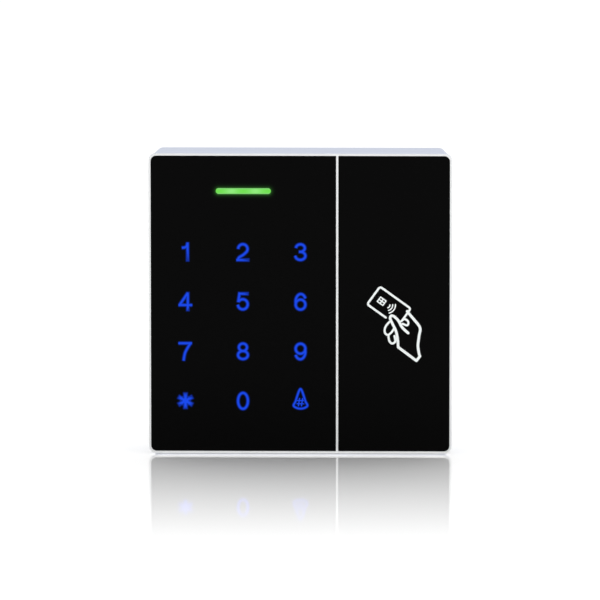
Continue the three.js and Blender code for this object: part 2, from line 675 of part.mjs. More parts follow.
// A thin wire from the coil's side, down through the slot and into the socket
function antennaLead(offset) {
  const level = (COIL.back + COIL.front) / 2;
  const coilSide = COIL.x - COIL.width / 2;
  const y = SOCKET.y + offset;
  const slotRight = LEAD_SLOT.x + LEAD_RADIUS * 2;
  const slotLeft = LEAD_SLOT.x - LEAD_RADIUS;
  const route = new THREE.CatmullRomCurve3([
    new THREE.Vector3(coilSide - LEAD_RADIUS, LEAD_SLOT.y + offset, level),
    new THREE.Vector3(coilSide - LEAD_BEND, LEAD_SLOT.y + offset, level),
    new THREE.Vector3(slotRight, LEAD_SLOT.y + offset, SHELF_FRONT),
    new THREE.Vector3(slotLeft, y, SHELF_BACK),
    new THREE.Vector3(LEAD_SLOT.x - LEAD_BEND, y, LEAD_END.z),
    new THREE.Vector3(LEAD_SLOT.x - 2 * LEAD_BEND, y, LEAD_END.z),
    new THREE.Vector3(LEAD_END.x - 2 * LEAD_RADIUS, y, LEAD_END.z),
  ]);
  const section = new THREE.Shape();
  section.absarc(0, 0, LEAD_RADIUS, 0, FULL_TURN, false);
  const options = { steps: SCREW_STEPS, curveSegments: 4, extrudePath: route, bevelEnabled: false };
  return new THREE.ExtrudeGeometry(section, options);
}

// The part stands on the back of the board, at its own place
function addBoardPart(name, geometry, finish, { x, y }) {
  addPart(name, geometry, finish, [x, y, 0]);
}

addPart('antenna_coil', coilRing(0, COIL.ring, COIL.back, COIL.front), 'copper');
leadPlaces.forEach((offset, index) => addPart(`antenna_lead_${index + 1}`, antennaLead(offset), 'redPart'));
addBoardPart('antenna_socket', antennaSocket(), 'whitePart', SOCKET);
addBoardPart('wiring_terminal', wiringTerminal(), 'greenPart', TERMINAL);
addBoardPart('relay', relay(), 'darkPart', RELAY);
addBoardPart('buzzer', buzzer(BUZZER.radius, BUZZER.tall), 'darkPart', BUZZER);
addBoardPart('mcu_chip', chip(MCU), 'darkPart', MCU);
addBoardPart('reader_chip', chip(READER_CHIP), 'darkPart', READER_CHIP);
addBoardPart('memory_chip', chip(MEMORY_CHIP), 'darkPart', MEMORY_CHIP);
addBoardPart('crystal', crystal(), 'can', CRYSTAL);
CAPACITORS.forEach((size, index) => {
  addBoardPart(`filter_capacitor_${index + 1}`, capacitor(size.radius, size.tall), 'sleeve', size);
});
addBoardPart('regulator', chip(REGULATOR), 'darkPart', REGULATOR);
addBoardPart('power_inductor', powerInductor(), 'darkPart', INDUCTOR);
addBoardPart('protection_diode', chip(DIODE), 'darkPart', DIODE);
addBoardPart('tamper_switch_body', switchBody(TAMPER), 'darkPart', TAMPER);
addBoardPart('tamper_plunger', switchPin(TAMPER), 'whitePart', TAMPER);
addBoardPart('reset_switch_body', switchBody(RESET), 'can', RESET);
addBoardPart('reset_button', switchPin(RESET), 'darkPart', RESET);

export default reader;
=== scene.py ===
"""The keypad access reader's looks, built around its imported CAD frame.

Lengths in the helpers are millimetres seen from the front: x to the right, z up, and depth out
from the wall. place() turns them into the frame's metres, where the front faces -Y.
"""

import math

import bpy
import numpy as np
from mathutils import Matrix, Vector
from mathutils.geometry import delaunay_2d_cdt


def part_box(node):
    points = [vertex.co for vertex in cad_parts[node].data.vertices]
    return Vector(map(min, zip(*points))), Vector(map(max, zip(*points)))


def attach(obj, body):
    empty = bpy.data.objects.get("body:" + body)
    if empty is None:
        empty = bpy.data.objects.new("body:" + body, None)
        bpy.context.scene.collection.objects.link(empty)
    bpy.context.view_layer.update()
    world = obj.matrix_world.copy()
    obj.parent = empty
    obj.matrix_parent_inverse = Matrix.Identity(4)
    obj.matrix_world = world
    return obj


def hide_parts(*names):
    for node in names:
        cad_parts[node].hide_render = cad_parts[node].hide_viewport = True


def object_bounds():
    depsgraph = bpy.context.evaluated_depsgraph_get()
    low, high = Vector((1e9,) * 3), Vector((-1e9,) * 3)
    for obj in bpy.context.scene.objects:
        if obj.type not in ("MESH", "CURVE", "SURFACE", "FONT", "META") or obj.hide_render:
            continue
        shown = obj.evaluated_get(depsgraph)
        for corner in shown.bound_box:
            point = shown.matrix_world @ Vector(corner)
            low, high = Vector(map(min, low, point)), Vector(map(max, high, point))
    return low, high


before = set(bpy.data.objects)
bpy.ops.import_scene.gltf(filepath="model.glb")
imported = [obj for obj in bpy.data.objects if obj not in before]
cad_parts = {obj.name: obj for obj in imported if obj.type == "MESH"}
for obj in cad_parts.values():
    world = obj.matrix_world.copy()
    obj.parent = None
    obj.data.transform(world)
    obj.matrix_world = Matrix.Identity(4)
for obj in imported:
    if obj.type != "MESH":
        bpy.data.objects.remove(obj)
cad_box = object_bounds()

MM = 0.001
scene = bpy.context.scene


def assign(thing, settings):
    """Gives a Blender object its settings by name."""
    for name, value in settings.items():
        setattr(thing, name, value)


def place(x, z, depth):
    """A point seen from the front, in millimetres, as the frame's metres."""
    return Vector((x * MM, -depth * MM, z * MM))


def node_box(node):
    """A CAD node's sides in millimetres: left, right, bottom, top, back and front depth."""
    low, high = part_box(node)
    return (low.x / MM, high.x / MM, low.z / MM, high.z / MM, -high.y / MM, -low.y / MM)


def node_middle(node):
    """Where the middle of a CAD node is, seen from the front."""
    left, right, bottom, top, _, _ = node_box(node)
    return ((left + right) / 2, (bottom + top) / 2)


# ---- driving sizes

PANEL_FRONT = node_box("keypad_panel")[5]
BOARD_BACK = node_box("main_board")[4]
CHIP_LEG_REACH = 1.0
BOARD_SCREWS = [f"board_screw_{i + 1}" for i in range(4)]
CAPACITORS = ["filter_capacitor_1", "filter_capacitor_2"]

KEY_LIGHTS = [f"key_led_{i + 1}" for i in range(12)]
KEY_PLACES = [node_middle(node) for node in KEY_LIGHTS]
LIGHT_BAR_MIDDLE = node_middle("status_light_pipe")
LIGHT_BAR_LENGTH = 21.6
LIGHT_BAR_HEIGHT = 2.2
STATUS_LIGHT_OFFSET = node_middle("status_led_right")[0] - LIGHT_BAR_MIDDLE[0]

# Inlaid shapes stand this far out of the panel, with a step between those that cross, and reach this deep.
INLAY_PROUD = 0.012
INLAY_STEP = 0.006
INLAY_DEEP = 0.1

# ---- node materials


class Nodes:
    """A node tree under construction: add() makes a node and links what it is given."""

    def __init__(self, tree):
        self.tree = tree

    def feed(self, node, socket, value):
        """Gives a node's socket a link, a colour or a plain value."""
        target = node.inputs[socket]
        if isinstance(value, bpy.types.NodeSocket):
            self.tree.links.new(value, target)
        elif isinstance(value, (tuple, list)) and len(value) == 3 and len(target.default_value) == 4:
            target.default_value = (*value, 1)
        else:
            target.default_value = value

    def add(self, kind, inputs=None, output=0, **settings):
        node = self.tree.nodes.new(kind)
        assign(node, settings)
        for socket, value in (inputs or {}).items():
            self.feed(node, socket, value)
        return node.outputs[output]


class Look(Nodes):
    """A material under construction, and the steps that its nodes are made of."""

    def __init__(self, name, **sockets):
        self.material = bpy.data.materials.new(name)
        self.material.use_nodes = True
        super().__init__(self.material.node_tree)
        self.shader = self.tree.nodes["Principled BSDF"]
        self.set(**sockets)

    def set(self, **sockets):
        """Feeds the shader's sockets by name, with _ for a space."""
        for name, value in sockets.items():
            self.feed(self.shader, name.replace("_", " "), value)
        return self

    def math(self, operation, a, b=0.0, clamp=False):
        """One step of arithmetic on numbers or sockets."""
        return self.add("ShaderNodeMath", {0: a, 1: b}, operation=operation, use_clamp=clamp)

    def plus(self, a, b):
        return self.math("ADD", a, b)

    def minus(self, a, b):
        return self.math("SUBTRACT", a, b)

    def times(self, a, b):
        return self.math("MULTIPLY", a, b)

    def largest(self, a, b):
        return self.math("MAXIMUM", a, b)

    def mix(self, factor, a, b):
        """A colour that goes from a to b with the factor."""
        return self.add("ShaderNodeMix", {0: factor, 6: a, 7: b}, output=2, data_type="RGBA")

    def level(self, factor, a, b):
        """A number that goes from a to b with the factor."""
        return self.plus(self.times(factor, b - a), a)

    def noise(self, size, detail=3.0, roughness=0.55, stretch=(1, 1, 1)):
        """Noise whose features are about size millimetres across."""
        point = self.add("ShaderNodeTexCoord", output=3)
        scaled = self.add("ShaderNodeMapping", {"Vector": point, "Scale": Vector(stretch)})
        inputs = {"Vector": scaled, "Scale": 1 / (size * MM), "Detail": detail, "Roughness": roughness}
        return self.add("ShaderNodeTexNoise", inputs)

    def position(self):
        """The surface point seen from the front, in millimetres: x, z and depth."""
        split = self.tree.nodes.new("ShaderNodeSeparateXYZ")
        self.feed(split, 0, self.add("ShaderNodeTexCoord", output=3))
        x, y, z = split.outputs
        return (self.math("DIVIDE", x, MM), self.math("DIVIDE", z, MM), self.math("DIVIDE", y, -MM))

    def aside(self, value, middle):
        """How far a coordinate is from a middle, on either side."""
        return self.math("ABSOLUTE", self.minus(value, middle))

    def below(self, value, limit):
        """One where a number is less than the limit, and nought elsewhere."""
        return self.math("LESS_THAN", value, limit)

    def beyond(self, value, middle, reach):
        """How far a coordinate is past a reach on either side of a middle, and nought within it."""
        return self.largest(self.minus(self.aside(value, middle), reach), 0.0)

    def length(self, a, b):
        """The length of a flat vector."""
        squares = self.plus(self.math("POWER", a, 2.0), self.math("POWER", b, 2.0))
        return self.math("SQRT", squares)

    def step(self, value, low, high):
        """Nought at low and one at high, straight between them and level past them."""
        return self.math("DIVIDE", self.minus(value, low), high - low, clamp=True)

    def past(self, value, place, blend):
        """Nought before a place and one past it, with a short blend across it."""
        return self.step(value, place - blend, place + blend)

    def bump(self, height, distance):
        """Raises the surface by a height that stands for distance millimetres."""
        normal = self.add("ShaderNodeBump", {"Height": height, "Distance": distance * MM})
        return self.set(Normal=normal)


def grey(value):
    """A colour without hue."""
    return (value, value, value)


def tinted(colour, factor):
    """A colour made lighter or darker."""
    return tuple(min(1.0, factor * c) for c in colour)


FLAKE_SIZE = 0.12
PEEL_SIZE = 1.2
PEEL_DEPTH = 0.005
PAINT_CLOUD_SIZE = 18
COLOUR_BLEND = 0.05


def painted(name, colour, metallic, roughness, front_colour, front_depth):
    """Sprayed metallic paint with fine flakes and orange peel, of another colour at its front."""
    look = Look(name, Metallic=metallic)
    flakes = look.noise(FLAKE_SIZE, detail=2)
    cloud = look.noise(PAINT_CLOUD_SIZE)
    base = look.mix(look.step(flakes, 0.35, 0.65), tinted(colour, 0.94), tinted(colour, 1.04))
    base = look.mix(look.times(cloud, 0.1), base, tinted(colour, 0.85))
    ahead = look.past(look.position()[2], front_depth, COLOUR_BLEND)
    base = look.mix(ahead, base, front_colour)
    look.set(Base_Color=base, Roughness=look.level(cloud, roughness - 0.06, roughness + 0.06))
    peel = look.plus(look.noise(PEEL_SIZE, detail=1), look.times(flakes, 0.35))
    return look.bump(peel, PEEL_DEPTH).material


FLOW_CLOUD_SIZE = 9


def moulded(name, colour, roughness, grain=0.35, depth=0.02, variation=0.3):
    """Moulded plastic: spark-eroded grain, flow clouds and slightly rubbed high spots."""
    look = Look(name)
    pits = look.noise(grain, detail=4, roughness=0.6)
    cloud = look.noise(FLOW_CLOUD_SIZE, detail=4)
    rubbed = look.times(look.step(cloud, 0.45, 0.8), variation)
    worn = tuple(min(1.0, c * 1.5 + 0.01) for c in colour)
    look.set(Base_Color=look.mix(rubbed, colour, worn))
    look.set(Roughness=look.level(pits, roughness - 0.1, roughness + 0.1))
    return look.bump(pits, depth).material


SCRATCH_SIZE = 0.25
PATCH_SIZE = 2.5


def metal(name, colour, roughness, stretch=(1, 1, 1), depth=0.004):
    """Bare or plated metal with drawn scratches and a patchy tint."""
    look = Look(name, Metallic=1.0)
    scratches = look.noise(SCRATCH_SIZE, stretch=stretch)
    patches = look.noise(PATCH_SIZE)
    look.set(Base_Color=look.mix(patches, tinted(colour, 0.78), colour))
    look.set(Roughness=look.level(scratches, roughness - 0.12, roughness + 0.12))
    return look.bump(scratches, depth).material


# ---- CAD finishes

SILVER = (0.45, 0.49, 0.60)
PALE = (0.78, 0.79, 0.79)
# How deep the housing's front edge is painted dark: painted shade for the gap behind the bezel.
SEAM_SHADE_REACH = 0.25
PALE_EDGE_REACH = 0.06
SMOOTH_ANGLE = 40
BEVEL_ANGLE = 35
FLAT_ANGLE = 1
WELD_REACH = 0.002


def smooth_nodes():
    """Geometry nodes that shade smoothly across every edge but the sharp ones."""
    group = bpy.data.node_groups.new("smooth_by_angle", "GeometryNodeTree")
    for way in ("INPUT", "OUTPUT"):
        group.interface.new_socket("Geometry", in_out=way, socket_type="NodeSocketGeometry")
    nodes = Nodes(group)
    angle = nodes.add("GeometryNodeInputMeshEdgeAngle")
    limits = {"A": angle, "B": math.radians(SMOOTH_ANGLE)}
    blunt = nodes.add("FunctionNodeCompare", limits, operation="LESS_THAN")
    shape = nodes.add("GeometryNodeSetShadeSmooth", {"Geometry": nodes.add("NodeGroupInput")})
    inputs = {"Geometry": shape, "Shade Smooth": blunt}
    shape = nodes.add("GeometryNodeSetShadeSmooth", inputs, domain="EDGE")
    nodes.feed(group.nodes.new("NodeGroupOutput"), 0, shape)
    return group


smooth_by_angle = smooth_nodes()


def modify(obj, name, kind, **settings):
    """Adds a modifier with its settings."""
    assign(obj.modifiers.new(name, kind), settings)


def soften(obj, bevel=0.0):
    """Shades an object smoothly, rounds its sharp edges and keeps its flat faces flat."""
    modify(obj, "smooth", "NODES", node_group=smooth_by_angle)
    if bevel:
        edge = {"width": bevel * MM, "limit_method": "ANGLE", "angle_limit": math.radians(BEVEL_ANGLE)}
        modify(obj, "edge", "BEVEL", segments=2, **edge)
    modify(obj, "normals", "WEIGHTED_NORMAL", keep_sharp=True)


def dress(node, material, bevel=0.0):
    """Gives a CAD node its material, and softens its edges with modifiers."""
    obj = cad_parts[node]
    obj.data.materials.clear()
    obj.data.materials.append(material)
    modify(obj, "weld", "WELD", merge_threshold=WELD_REACH * MM)
    if bevel:
        modify(obj, "flat", "DECIMATE", decimate_type="DISSOLVE", angle_limit=math.radians(FLAT_ANGLE))
    soften(obj, bevel)


seam_shade_depth = node_box("bezel_frame")[4] - SEAM_SHADE_REACH
pale_depth = node_box("bezel_frame")[5] - PALE_EDGE_REACH
# The housing's dark front colour is painted shade, standing for the shadow in the gap behind the bezel.
silver_paint = painted("silver_paint", SILVER, 0.3, 0.42, tinted(SILVER, 0.2), seam_shade_depth)
bezel_paint = painted("bezel_paint", SILVER, 0.15, 0.38, PALE, pale_depth)
plate_plastic = moulded("plate_plastic", (0.065, 0.069, 0.074), 0.6)
black_rubber = moulded("black_rubber", (0.012, 0.012, 0.012), 0.8, grain=0.6, depth=0.03)
zinc_steel = metal("zinc_steel", (0.62, 0.63, 0.62), 0.32)

dress("housing", silver_paint, 0.2)
dress("bezel_frame", bezel_paint, 0.18)
dress("wall_plate", plate_plastic, 0.25)
dress("cable_grommet", black_rubber, 0.4)
dress("lock_nut", zinc_steel, 0.12)

# ---- glossy panels

PANEL_BLACK = 0.0024
PANEL_SHINE = 0.011
DUST_SIZE = 0.4
HAIR_SIZE = 0.5
HAIR_DEPTH = 0.0006
HALO_COLOUR = (0.22, 1.0, 0.16)
HALO_FADE = 0.42
HALO_STRENGTH = 0.13


def bar_distance(look):
    """Millimetres from the status bar's outline, along the panel."""
    x, z, _ = look.position()
    straight = (LIGHT_BAR_LENGTH - LIGHT_BAR_HEIGHT) / 2
    past_end = look.beyond(x, LIGHT_BAR_MIDDLE[0], straight)
    above = look.aside(z, LIGHT_BAR_MIDDLE[1])
    return look.minus(look.length(past_end, above), LIGHT_BAR_HEIGHT / 2)


def black_panel(name, glow):
    """Polished black acrylic with hairline scratches, and the light that bleeds round the bar."""
    look = Look(name, Specular_IOR_Level=PANEL_SHINE)
    dust = look.step(look.noise(DUST_SIZE, detail=4), 0.62, 0.8)
    look.set(Base_Color=look.mix(dust, grey(PANEL_BLACK), grey(1.6 * PANEL_BLACK)))
    hairs = look.noise(HAIR_SIZE, detail=2, stretch=(0.08, 1, 1.4))
    cloud = look.noise(25, detail=2)
    look.set(Roughness=look.plus(look.level(hairs, 0.02, 0.06), look.times(cloud, 0.04)))
    if glow:
        fade = look.times(look.largest(bar_distance(look), 0.0), -1 / HALO_FADE)
        strength = look.times(look.math("EXPONENT", fade), HALO_STRENGTH)
        look.set(Emission_Color=HALO_COLOUR, Emission_Strength=strength)
    return look.bump(hairs, HAIR_DEPTH).material


BAR_GREEN = (0.125, 0.68, 0.045)
BAR_PALE_GREEN = (0.30, 0.82, 0.23)
SPOT_REACH = 2.6


def light_bar_material():
    """A lit green light pipe: two hot spots over its lights, and paler long edges."""
    look = Look("green_light_pipe", Base_Color=(0.01, 0.06, 0.008), Roughness=0.25, Specular_IOR_Level=0.2)
    x, z, _ = look.position()
    from_spot = look.minus(look.aside(x, LIGHT_BAR_MIDDLE[0]), STATUS_LIGHT_OFFSET)
    spot = look.math("POWER", look.math("DIVIDE", from_spot, SPOT_REACH), 2.0)
    spot = look.math("EXPONENT", look.times(spot, -1.0))
    edge = look.step(look.aside(z, LIGHT_BAR_MIDDLE[1]), 0.25 * LIGHT_BAR_HEIGHT, 0.5 * LIGHT_BAR_HEIGHT)
    pale = look.largest(look.times(spot, 0.75), edge)
    pale = look.plus(look.times(pale, 0.9), look.times(look.noise(0.5), 0.2))
    colour = look.mix(pale, BAR_GREEN, BAR_PALE_GREEN)
    dim = look.level(edge, 0.97, 0.7)
    return look.set(Emission_Color=colour, Emission_Strength=dim).material


dress("keypad_panel", black_panel("black_keypad_panel", glow=True), 0.03)
dress("card_panel", black_panel("black_card_panel", glow=False), 0.03)
dress("status_light_pipe", light_bar_material(), 0.05)

# ---- stroked shapes


def arc(x, z, radius_x, radius_z, start, end, steps=14):
    """Points along an ellipse's edge from one angle to another, in degrees."""
    angles = [math.radians(start + (end - start) * i / steps) for i in range(steps + 1)]
    return [(x + radius_x * math.cos(a), z + radius_z * math.sin(a)) for a in angles]


def smooth(points, steps=5, closed=False):
    """A Catmull-Rom curve through given points."""
    count = len(points)
    curve = []
    for i in range(count if closed else count - 1):
        near = [i + j if closed else min(max(i + j, 0), count - 1) for j in (-1, 0, 1, 2)]
        p = [Vector(points[j % count]) for j in near]
        for step in range(steps):
            t = step / steps
            bend = 2 * p[0] - 5 * p[1] + 4 * p[2] - p[3]
            swing = 3 * p[1] - p[0] - 3 * p[2] + p[3]
            curve.append(tuple(p[1] + 0.5 * ((p[2] - p[0]) * t + bend * t * t + swing * t ** 3)))
    curve.append(tuple(points[0] if closed else points[-1]))
    return curve


def segments(stroke, flat):
    """The straight pieces of a stroke, and whether each of their ends is cut off square."""
    last = len(stroke) - 2
    for i, (a, b) in enumerate(zip(stroke[:-1], stroke[1:])):
        yield np.array(a), np.array(b), flat and i == 0, flat and i == last


def distances(points, strokes, half, flat):
    """How far each point is from the strokes' middle lines; a flat end counts as an edge."""
    points = np.array(points)
    best = np.full(len(points), np.inf)
    for stroke in strokes:
        for a, b, flat_start, flat_end in segments(stroke, flat):
            length = float(np.linalg.norm(b - a))
            along = (points - a) @ (b - a) / length
            across = np.abs((points - a) @ np.array((a[1] - b[1], b[0] - a[0])) / length)
            past = np.maximum(np.maximum(-along, along - length), 0)
            square = np.where(along < 0, flat_start, flat_end)
            beyond = half + np.hypot(np.maximum(across - half, 0), past)
            found = np.where(square & (past > 0), beyond, np.hypot(across, past))
            best = np.minimum(best, found)
    return best


def end_outline(tip, heading, radius, half, flat, steps=5):
    """The points round one end of a thick line, round or cut off square."""
    side = min(radius, half) if flat else 0
    soft = radius - side
    outline = []
    for turn in (-1, 1):
        for i in range(steps + 1):
            sweep = heading + math.pi / 2 * (i / steps - (turn < 0))
            corner = heading + turn * math.pi / 2
            x = tip[0] + side * math.cos(corner) + soft * math.cos(sweep)
            z = tip[1] + side * math.sin(corner) + soft * math.sin(sweep)
            outline.append((x, z))
    return outline


# What the triangulation keeps, which is what lies inside the outlines, and how near points are one.
KEEP_INSIDE = 1
POINT_MERGE = 1e-3


def stroke_area(strokes, half, reaches, flat):
    """Points and triangles that cover thick strokes, with a ring at each reach."""
    corners, faces, edges = [], [], []
    for stroke in strokes:
        for a, b, flat_start, flat_end in segments(stroke, flat):
            heading = math.atan2(b[1] - a[1], b[0] - a[0])
            edges.append((len(corners), len(corners) + 1))
            corners.extend([a, b])
            for reach in reaches:
                outline = end_outline(b, heading, reach, half, flat_end)
                outline += end_outline(a, heading + math.pi, reach, half, flat_start)
                faces.append(list(range(len(corners), len(corners) + len(outline))))
                corners.extend(outline)
    flat_corners = [Vector((float(c[0]), float(c[1]))) for c in corners]
    points, _, triangles, *_ = delaunay_2d_cdt(flat_corners, edges, faces, KEEP_INSIDE, POINT_MERGE)
    points = np.array([(p.x, p.y) for p in points])
    middles = np.array([points[list(t)].mean(axis=0) for t in triangles])
    inside = distances(middles, strokes, half, flat) < max(reaches)
    triangles = [list(t) for t, keep in zip(triangles, inside) if keep]
    used = sorted({i for t in triangles for i in t})
    index = {old: new for new, old in enumerate(used)}
    return points[used], [[index[i] for i in t] for t in triangles]


def new_object(name, data):
    """An object of its data, in the scene."""
    obj = bpy.data.objects.new(name, data)
    scene.collection.objects.link(obj)
    return obj


def make_piece(name, verts, faces, material, body):
    """A new mesh in the scene, on its CAD body and in its material slot."""
    mesh = bpy.data.meshes.new(name)
    mesh.from_pydata(verts, [], faces)
    mesh.materials.append(material)
    obj = new_object(name, mesh)
    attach(obj, body)
    return obj


def panel_depths(layer=0):
    """An inlaid shape's face and foot."""
    return (PANEL_FRONT + INLAY_PROUD + layer * INLAY_STEP, PANEL_FRONT - INLAY_DEEP)


def inlay(name, strokes, stroke, depths, material, flat=False, centre=(0, 0), spread=None):
    """A thin solid in the shape of the strokes; its points know how far from the middle they are."""
    half = stroke / 2
    reaches = (half, spread * half) if spread else (half,)
    points, triangles = stroke_area(strokes, half, reaches, flat)
    count = len(points)
    borders = {(a, b) for t in triangles for a, b in zip(t, t[1:] + t[:1])}
    rim = [(a, b) for a, b in borders if (b, a) not in borders]
    verts = [place(centre[0] + x, centre[1] + z, depth) for depth in depths for x, z in points]
    faces = triangles + [[i + count for i in reversed(t)] for t in triangles]
    faces += [[b, a, a + count, b + count] for a, b in rim]
    if depths[0] < depths[1]:
        faces = [list(reversed(face)) for face in faces]
    obj = make_piece(name, verts, faces, material, "front_unit")
    reach = distances(points, strokes, half, flat) / half
    attribute = obj.data.attributes.new("reach", "FLOAT", "POINT")
    attribute.data.foreach_set("value", np.tile(reach, 2).astype(np.float32))


# ---- key figures

FIGURE_STROKE = 1.05
STAR_STROKE = 1.4
BELL_STROKE = 0.85
HASH_STROKE = 0.5

# Half a figure's height, and how far from its middle a level stroke along its top or foot runs.
TOP = 3.72
BAR = TOP - FIGURE_STROKE / 2
# Each figure's strokes, in the order of the keys.
FIGURES = {
    "1": [
        [(0.95, TOP), (0.95, -TOP)],
        [(-1.25, 1.62)] + smooth([(-0.4, 1.7), (0.5, 2.15), (0.9, TOP - 0.3)]),
    ],
    "2": [
        arc(0, 1.22, 1.85, 1.88, 178, -36) + smooth([(1.5, 0.1), (0.2, -1.1), (-1.5, -2.2), (-1.9, -BAR)]),
        [(-2.5, -BAR), (2.45, -BAR)],
    ],
    "3": [
        arc(-0.05, 1.62, 1.75, 1.5, 176, -90) + [(-0.6, 0.12)],
        arc(-0.05, -1.5, 1.98, 1.62, 90, -176),
    ],
    "4": [[(1.0, TOP), (1.0, -TOP)], [(0.95, TOP - 0.3), (-2.15, -1.2)], [(-2.6, -1.4), (2.55, -1.4)]],
    "5": [
        [(2.15, BAR), (-1.5, BAR)],
        [(-1.25, TOP), (-1.85, -0.15)],
        arc(-0.05, -1.05, 1.98, 2.05, 150, -172),
    ],
    "6": [arc(0, -1.1, 1.92, 2.0, 0, 360, 24), arc(0.1, 0.1, 2.02, 3.02, 200, 28)],
    "7": [[(-2.55, BAR), (2.5, BAR)], smooth([(2.15, BAR + 0.2), (0.75, 1.1), (-0.2, -0.9), (-0.7, -TOP)])],
    "8": [arc(0, 1.62, 1.6, 1.5, 0, 360, 22), arc(0, -1.48, 1.95, 1.62, 0, 360, 24)],
    "9": [arc(0, 1.1, 1.92, 2.0, 0, 360, 24), arc(-0.1, -0.1, 2.02, 3.02, 20, -152)],
    "star": [arc(0, 0, 3.15, 3.15, turn, turn + 180, 1) for turn in (30, 90, 150)],
    "0": [arc(0, 0, 1.95, BAR, 0, 360, 32)],
    "bell": [smooth(
        [(0, 4.05), (0.6, 3.2), (1.3, 1.2), (1.95, -0.9), (2.75, -2.6), (1.6, -3.55), (0, -3.85),
         (-1.6, -3.55), (-2.75, -2.6), (-1.95, -0.9), (-1.3, 1.2), (-0.6, 3.2)],
        closed=True,
    )],
}
STROKES = {"star": STAR_STROKE, "bell": BELL_STROKE}
RISES = {"bell": 0.8}
ROUND_FIGURES = {"0", "8", "bell"}

HASH_RISE = -0.45
HASH_HALF_WIDTH = 1.5
HASH_HALF_HEIGHT = 1.6
HASH_LEAN = 0.16
HASH_SPREAD = 0.4

# How far the light spreads past a stroke's half width, as a multiple of it.
GLOW_REACH = 1.9
HASH_GLOW_REACH = 1.5
GLOW_FALL = 2.6
FIGURE_BRIGHTNESS = 0.88
FIGURE_BLUE = (0.010, 0.078, 1.0)


def hash_strokes(x, z):
    """A small leaning number sign."""
    lean = HASH_LEAN * HASH_HALF_WIDTH
    left, right = x - HASH_HALF_WIDTH, x + HASH_HALF_WIDTH
    strokes = []
    for side in (-HASH_SPREAD, HASH_SPREAD):
        middle = x + side * HASH_HALF_WIDTH
        level = z + side * HASH_HALF_HEIGHT
        strokes.append([(middle - lean, z - HASH_HALF_HEIGHT), (middle + lean, z + HASH_HALF_HEIGHT)])
        strokes.append([(left, level), (right, level)])
    return strokes


def figure_material():
    """Blue light through the panel's figures, brightest along the middle of each stroke."""
    look = Look("lit_blue_figures", Base_Color=grey(PANEL_BLACK), Roughness=0.05)
    look.set(Specular_IOR_Level=PANEL_SHINE)
    reach = look.add("ShaderNodeAttribute", output=2, attribute_name="reach")
    grain = look.level(look.noise(1.0, detail=2), 0.88, 1.06)
    fade = look.math("EXPONENT", look.times(look.math("POWER", reach, GLOW_FALL), -1.0))
    strength = look.times(look.times(fade, grain), FIGURE_BRIGHTNESS)
    return look.set(Emission_Color=FIGURE_BLUE, Emission_Strength=strength).material


def make_figures():
    """The lit figures over their key lights, and the number sign inside the bell."""
    lit_blue = figure_material()
    for (key, strokes), (x, z) in zip(FIGURES.items(), KEY_PLACES):
        inlay(
            f"figure_{key}", strokes, STROKES.get(key, FIGURE_STROKE), panel_depths(), lit_blue,
            flat=key not in ROUND_FIGURES, centre=(x, z + RISES.get(key, 0)),
            spread=GLOW_REACH,
        )
    x, z = KEY_PLACES[-1]
    inlay(
        "figure_hash", hash_strokes(x, z + HASH_RISE), HASH_STROKE, panel_depths(1), lit_blue,
        flat=True, spread=HASH_GLOW_REACH,
    )


make_figures()

# ---- card sign

CARD_LENGTH = 15.0
CARD_WIDTH = 8.7
CARD_CORNER = 0.9
CARD_TILT = math.radians(-35.8)
CARD_MIDDLE = (35.1, -0.95)
SIGN_STROKE = 0.84
HAND_STROKE = 1.06
CARD_MARK_STROKE = 0.5


def on_card(u, v):
    """A point on the drawn card, along its length and across it, from its middle."""
    x = CARD_MIDDLE[0] + u * math.cos(CARD_TILT) - v * math.sin(CARD_TILT)
    z = CARD_MIDDLE[1] + u * math.sin(CARD_TILT) + v * math.cos(CARD_TILT)
    return (x, z)


def card_edge():
    """The card's outline, open where the fingers cover it."""
    u, v, r = CARD_LENGTH / 2, CARD_WIDTH / 2, CARD_CORNER
    points = [(1.6, -v)]
    points += arc(-u + r, -v + r, r, r, 270, 180, 5)
    points += arc(-u + r, v - r, r, r, 180, 90, 5)
    points += arc(u - r, v - r, r, r, 90, 0, 5)
    points += [(u, -v + 3.2)]
    return [on_card(*p) for p in points]


def card_mark():
    """A chip and three radio waves, the plain mark of a contactless card."""
    left, right, low, high = -4.9, -2.2, -1.1, 1.1
    outlines = [
        [(left, low), (left, high), (right, high), (right, low), (left, low)],
        [(left, 0), (right, 0)],
        [((left + right) / 2, low), ((left + right) / 2, high)],
    ]
    outlines += [arc(-0.9, 0, radius, radius, -40, 40, 6) for radius in (1.1, 2.2, 3.3)]
    return [[on_card(*p) for p in outline] for outline in outlines]


def hand_strokes():
    """A plain hand that holds the card between its thumb and fingers."""
    back = [(42.3, -2.9)] + smooth([(45.2, -6.4), (47.4, -9.5), (47.0, -13.0), (46.6, -16.8), (47.1, -20.2)])
    cuff = [(47.1, -20.2), (47.4, -20.9), (46.0, -22.7), (38.8, -17.3)]
    palm = smooth(
        [(38.8, -17.3), (38.5, -13.8), (37.8, -10.6), (36.5, -7.9), (35.6, -5.8), (36.0, -4.7), (37.1, -4.9)]
    )
    thumb = smooth([(37.1, -4.9), (38.8, -6.6), (40.3, -9.3), (42.7, -11.6)])
    index = smooth([(39.9, -6.9), (41.3, -6.0), (42.7, -7.0), (42.4, -8.5), (40.5, -7.9)])
    middle = smooth([(35.2, -7.2), (33.7, -9.2), (33.5, -11.4), (34.7, -12.4), (36.2, -11.2), (37.1, -9.8)])
    ring = smooth([(34.9, -12.4), (35.2, -14.6), (36.3, -15.8), (37.6, -15.0), (37.3, -12.8)])
    return [back, cuff, palm, thumb], [index, middle, ring]


def print_material():
    """Thick white screen print, a little uneven in its cover."""
    look = Look("white_print", Roughness=0.35)
    speck = look.noise(0.3)
    look.set(Base_Color=look.mix(look.times(speck, 0.25), (0.84, 0.88, 0.87), (0.66, 0.70, 0.70)))
    return look.bump(speck, 0.003).material


white_print = print_material()


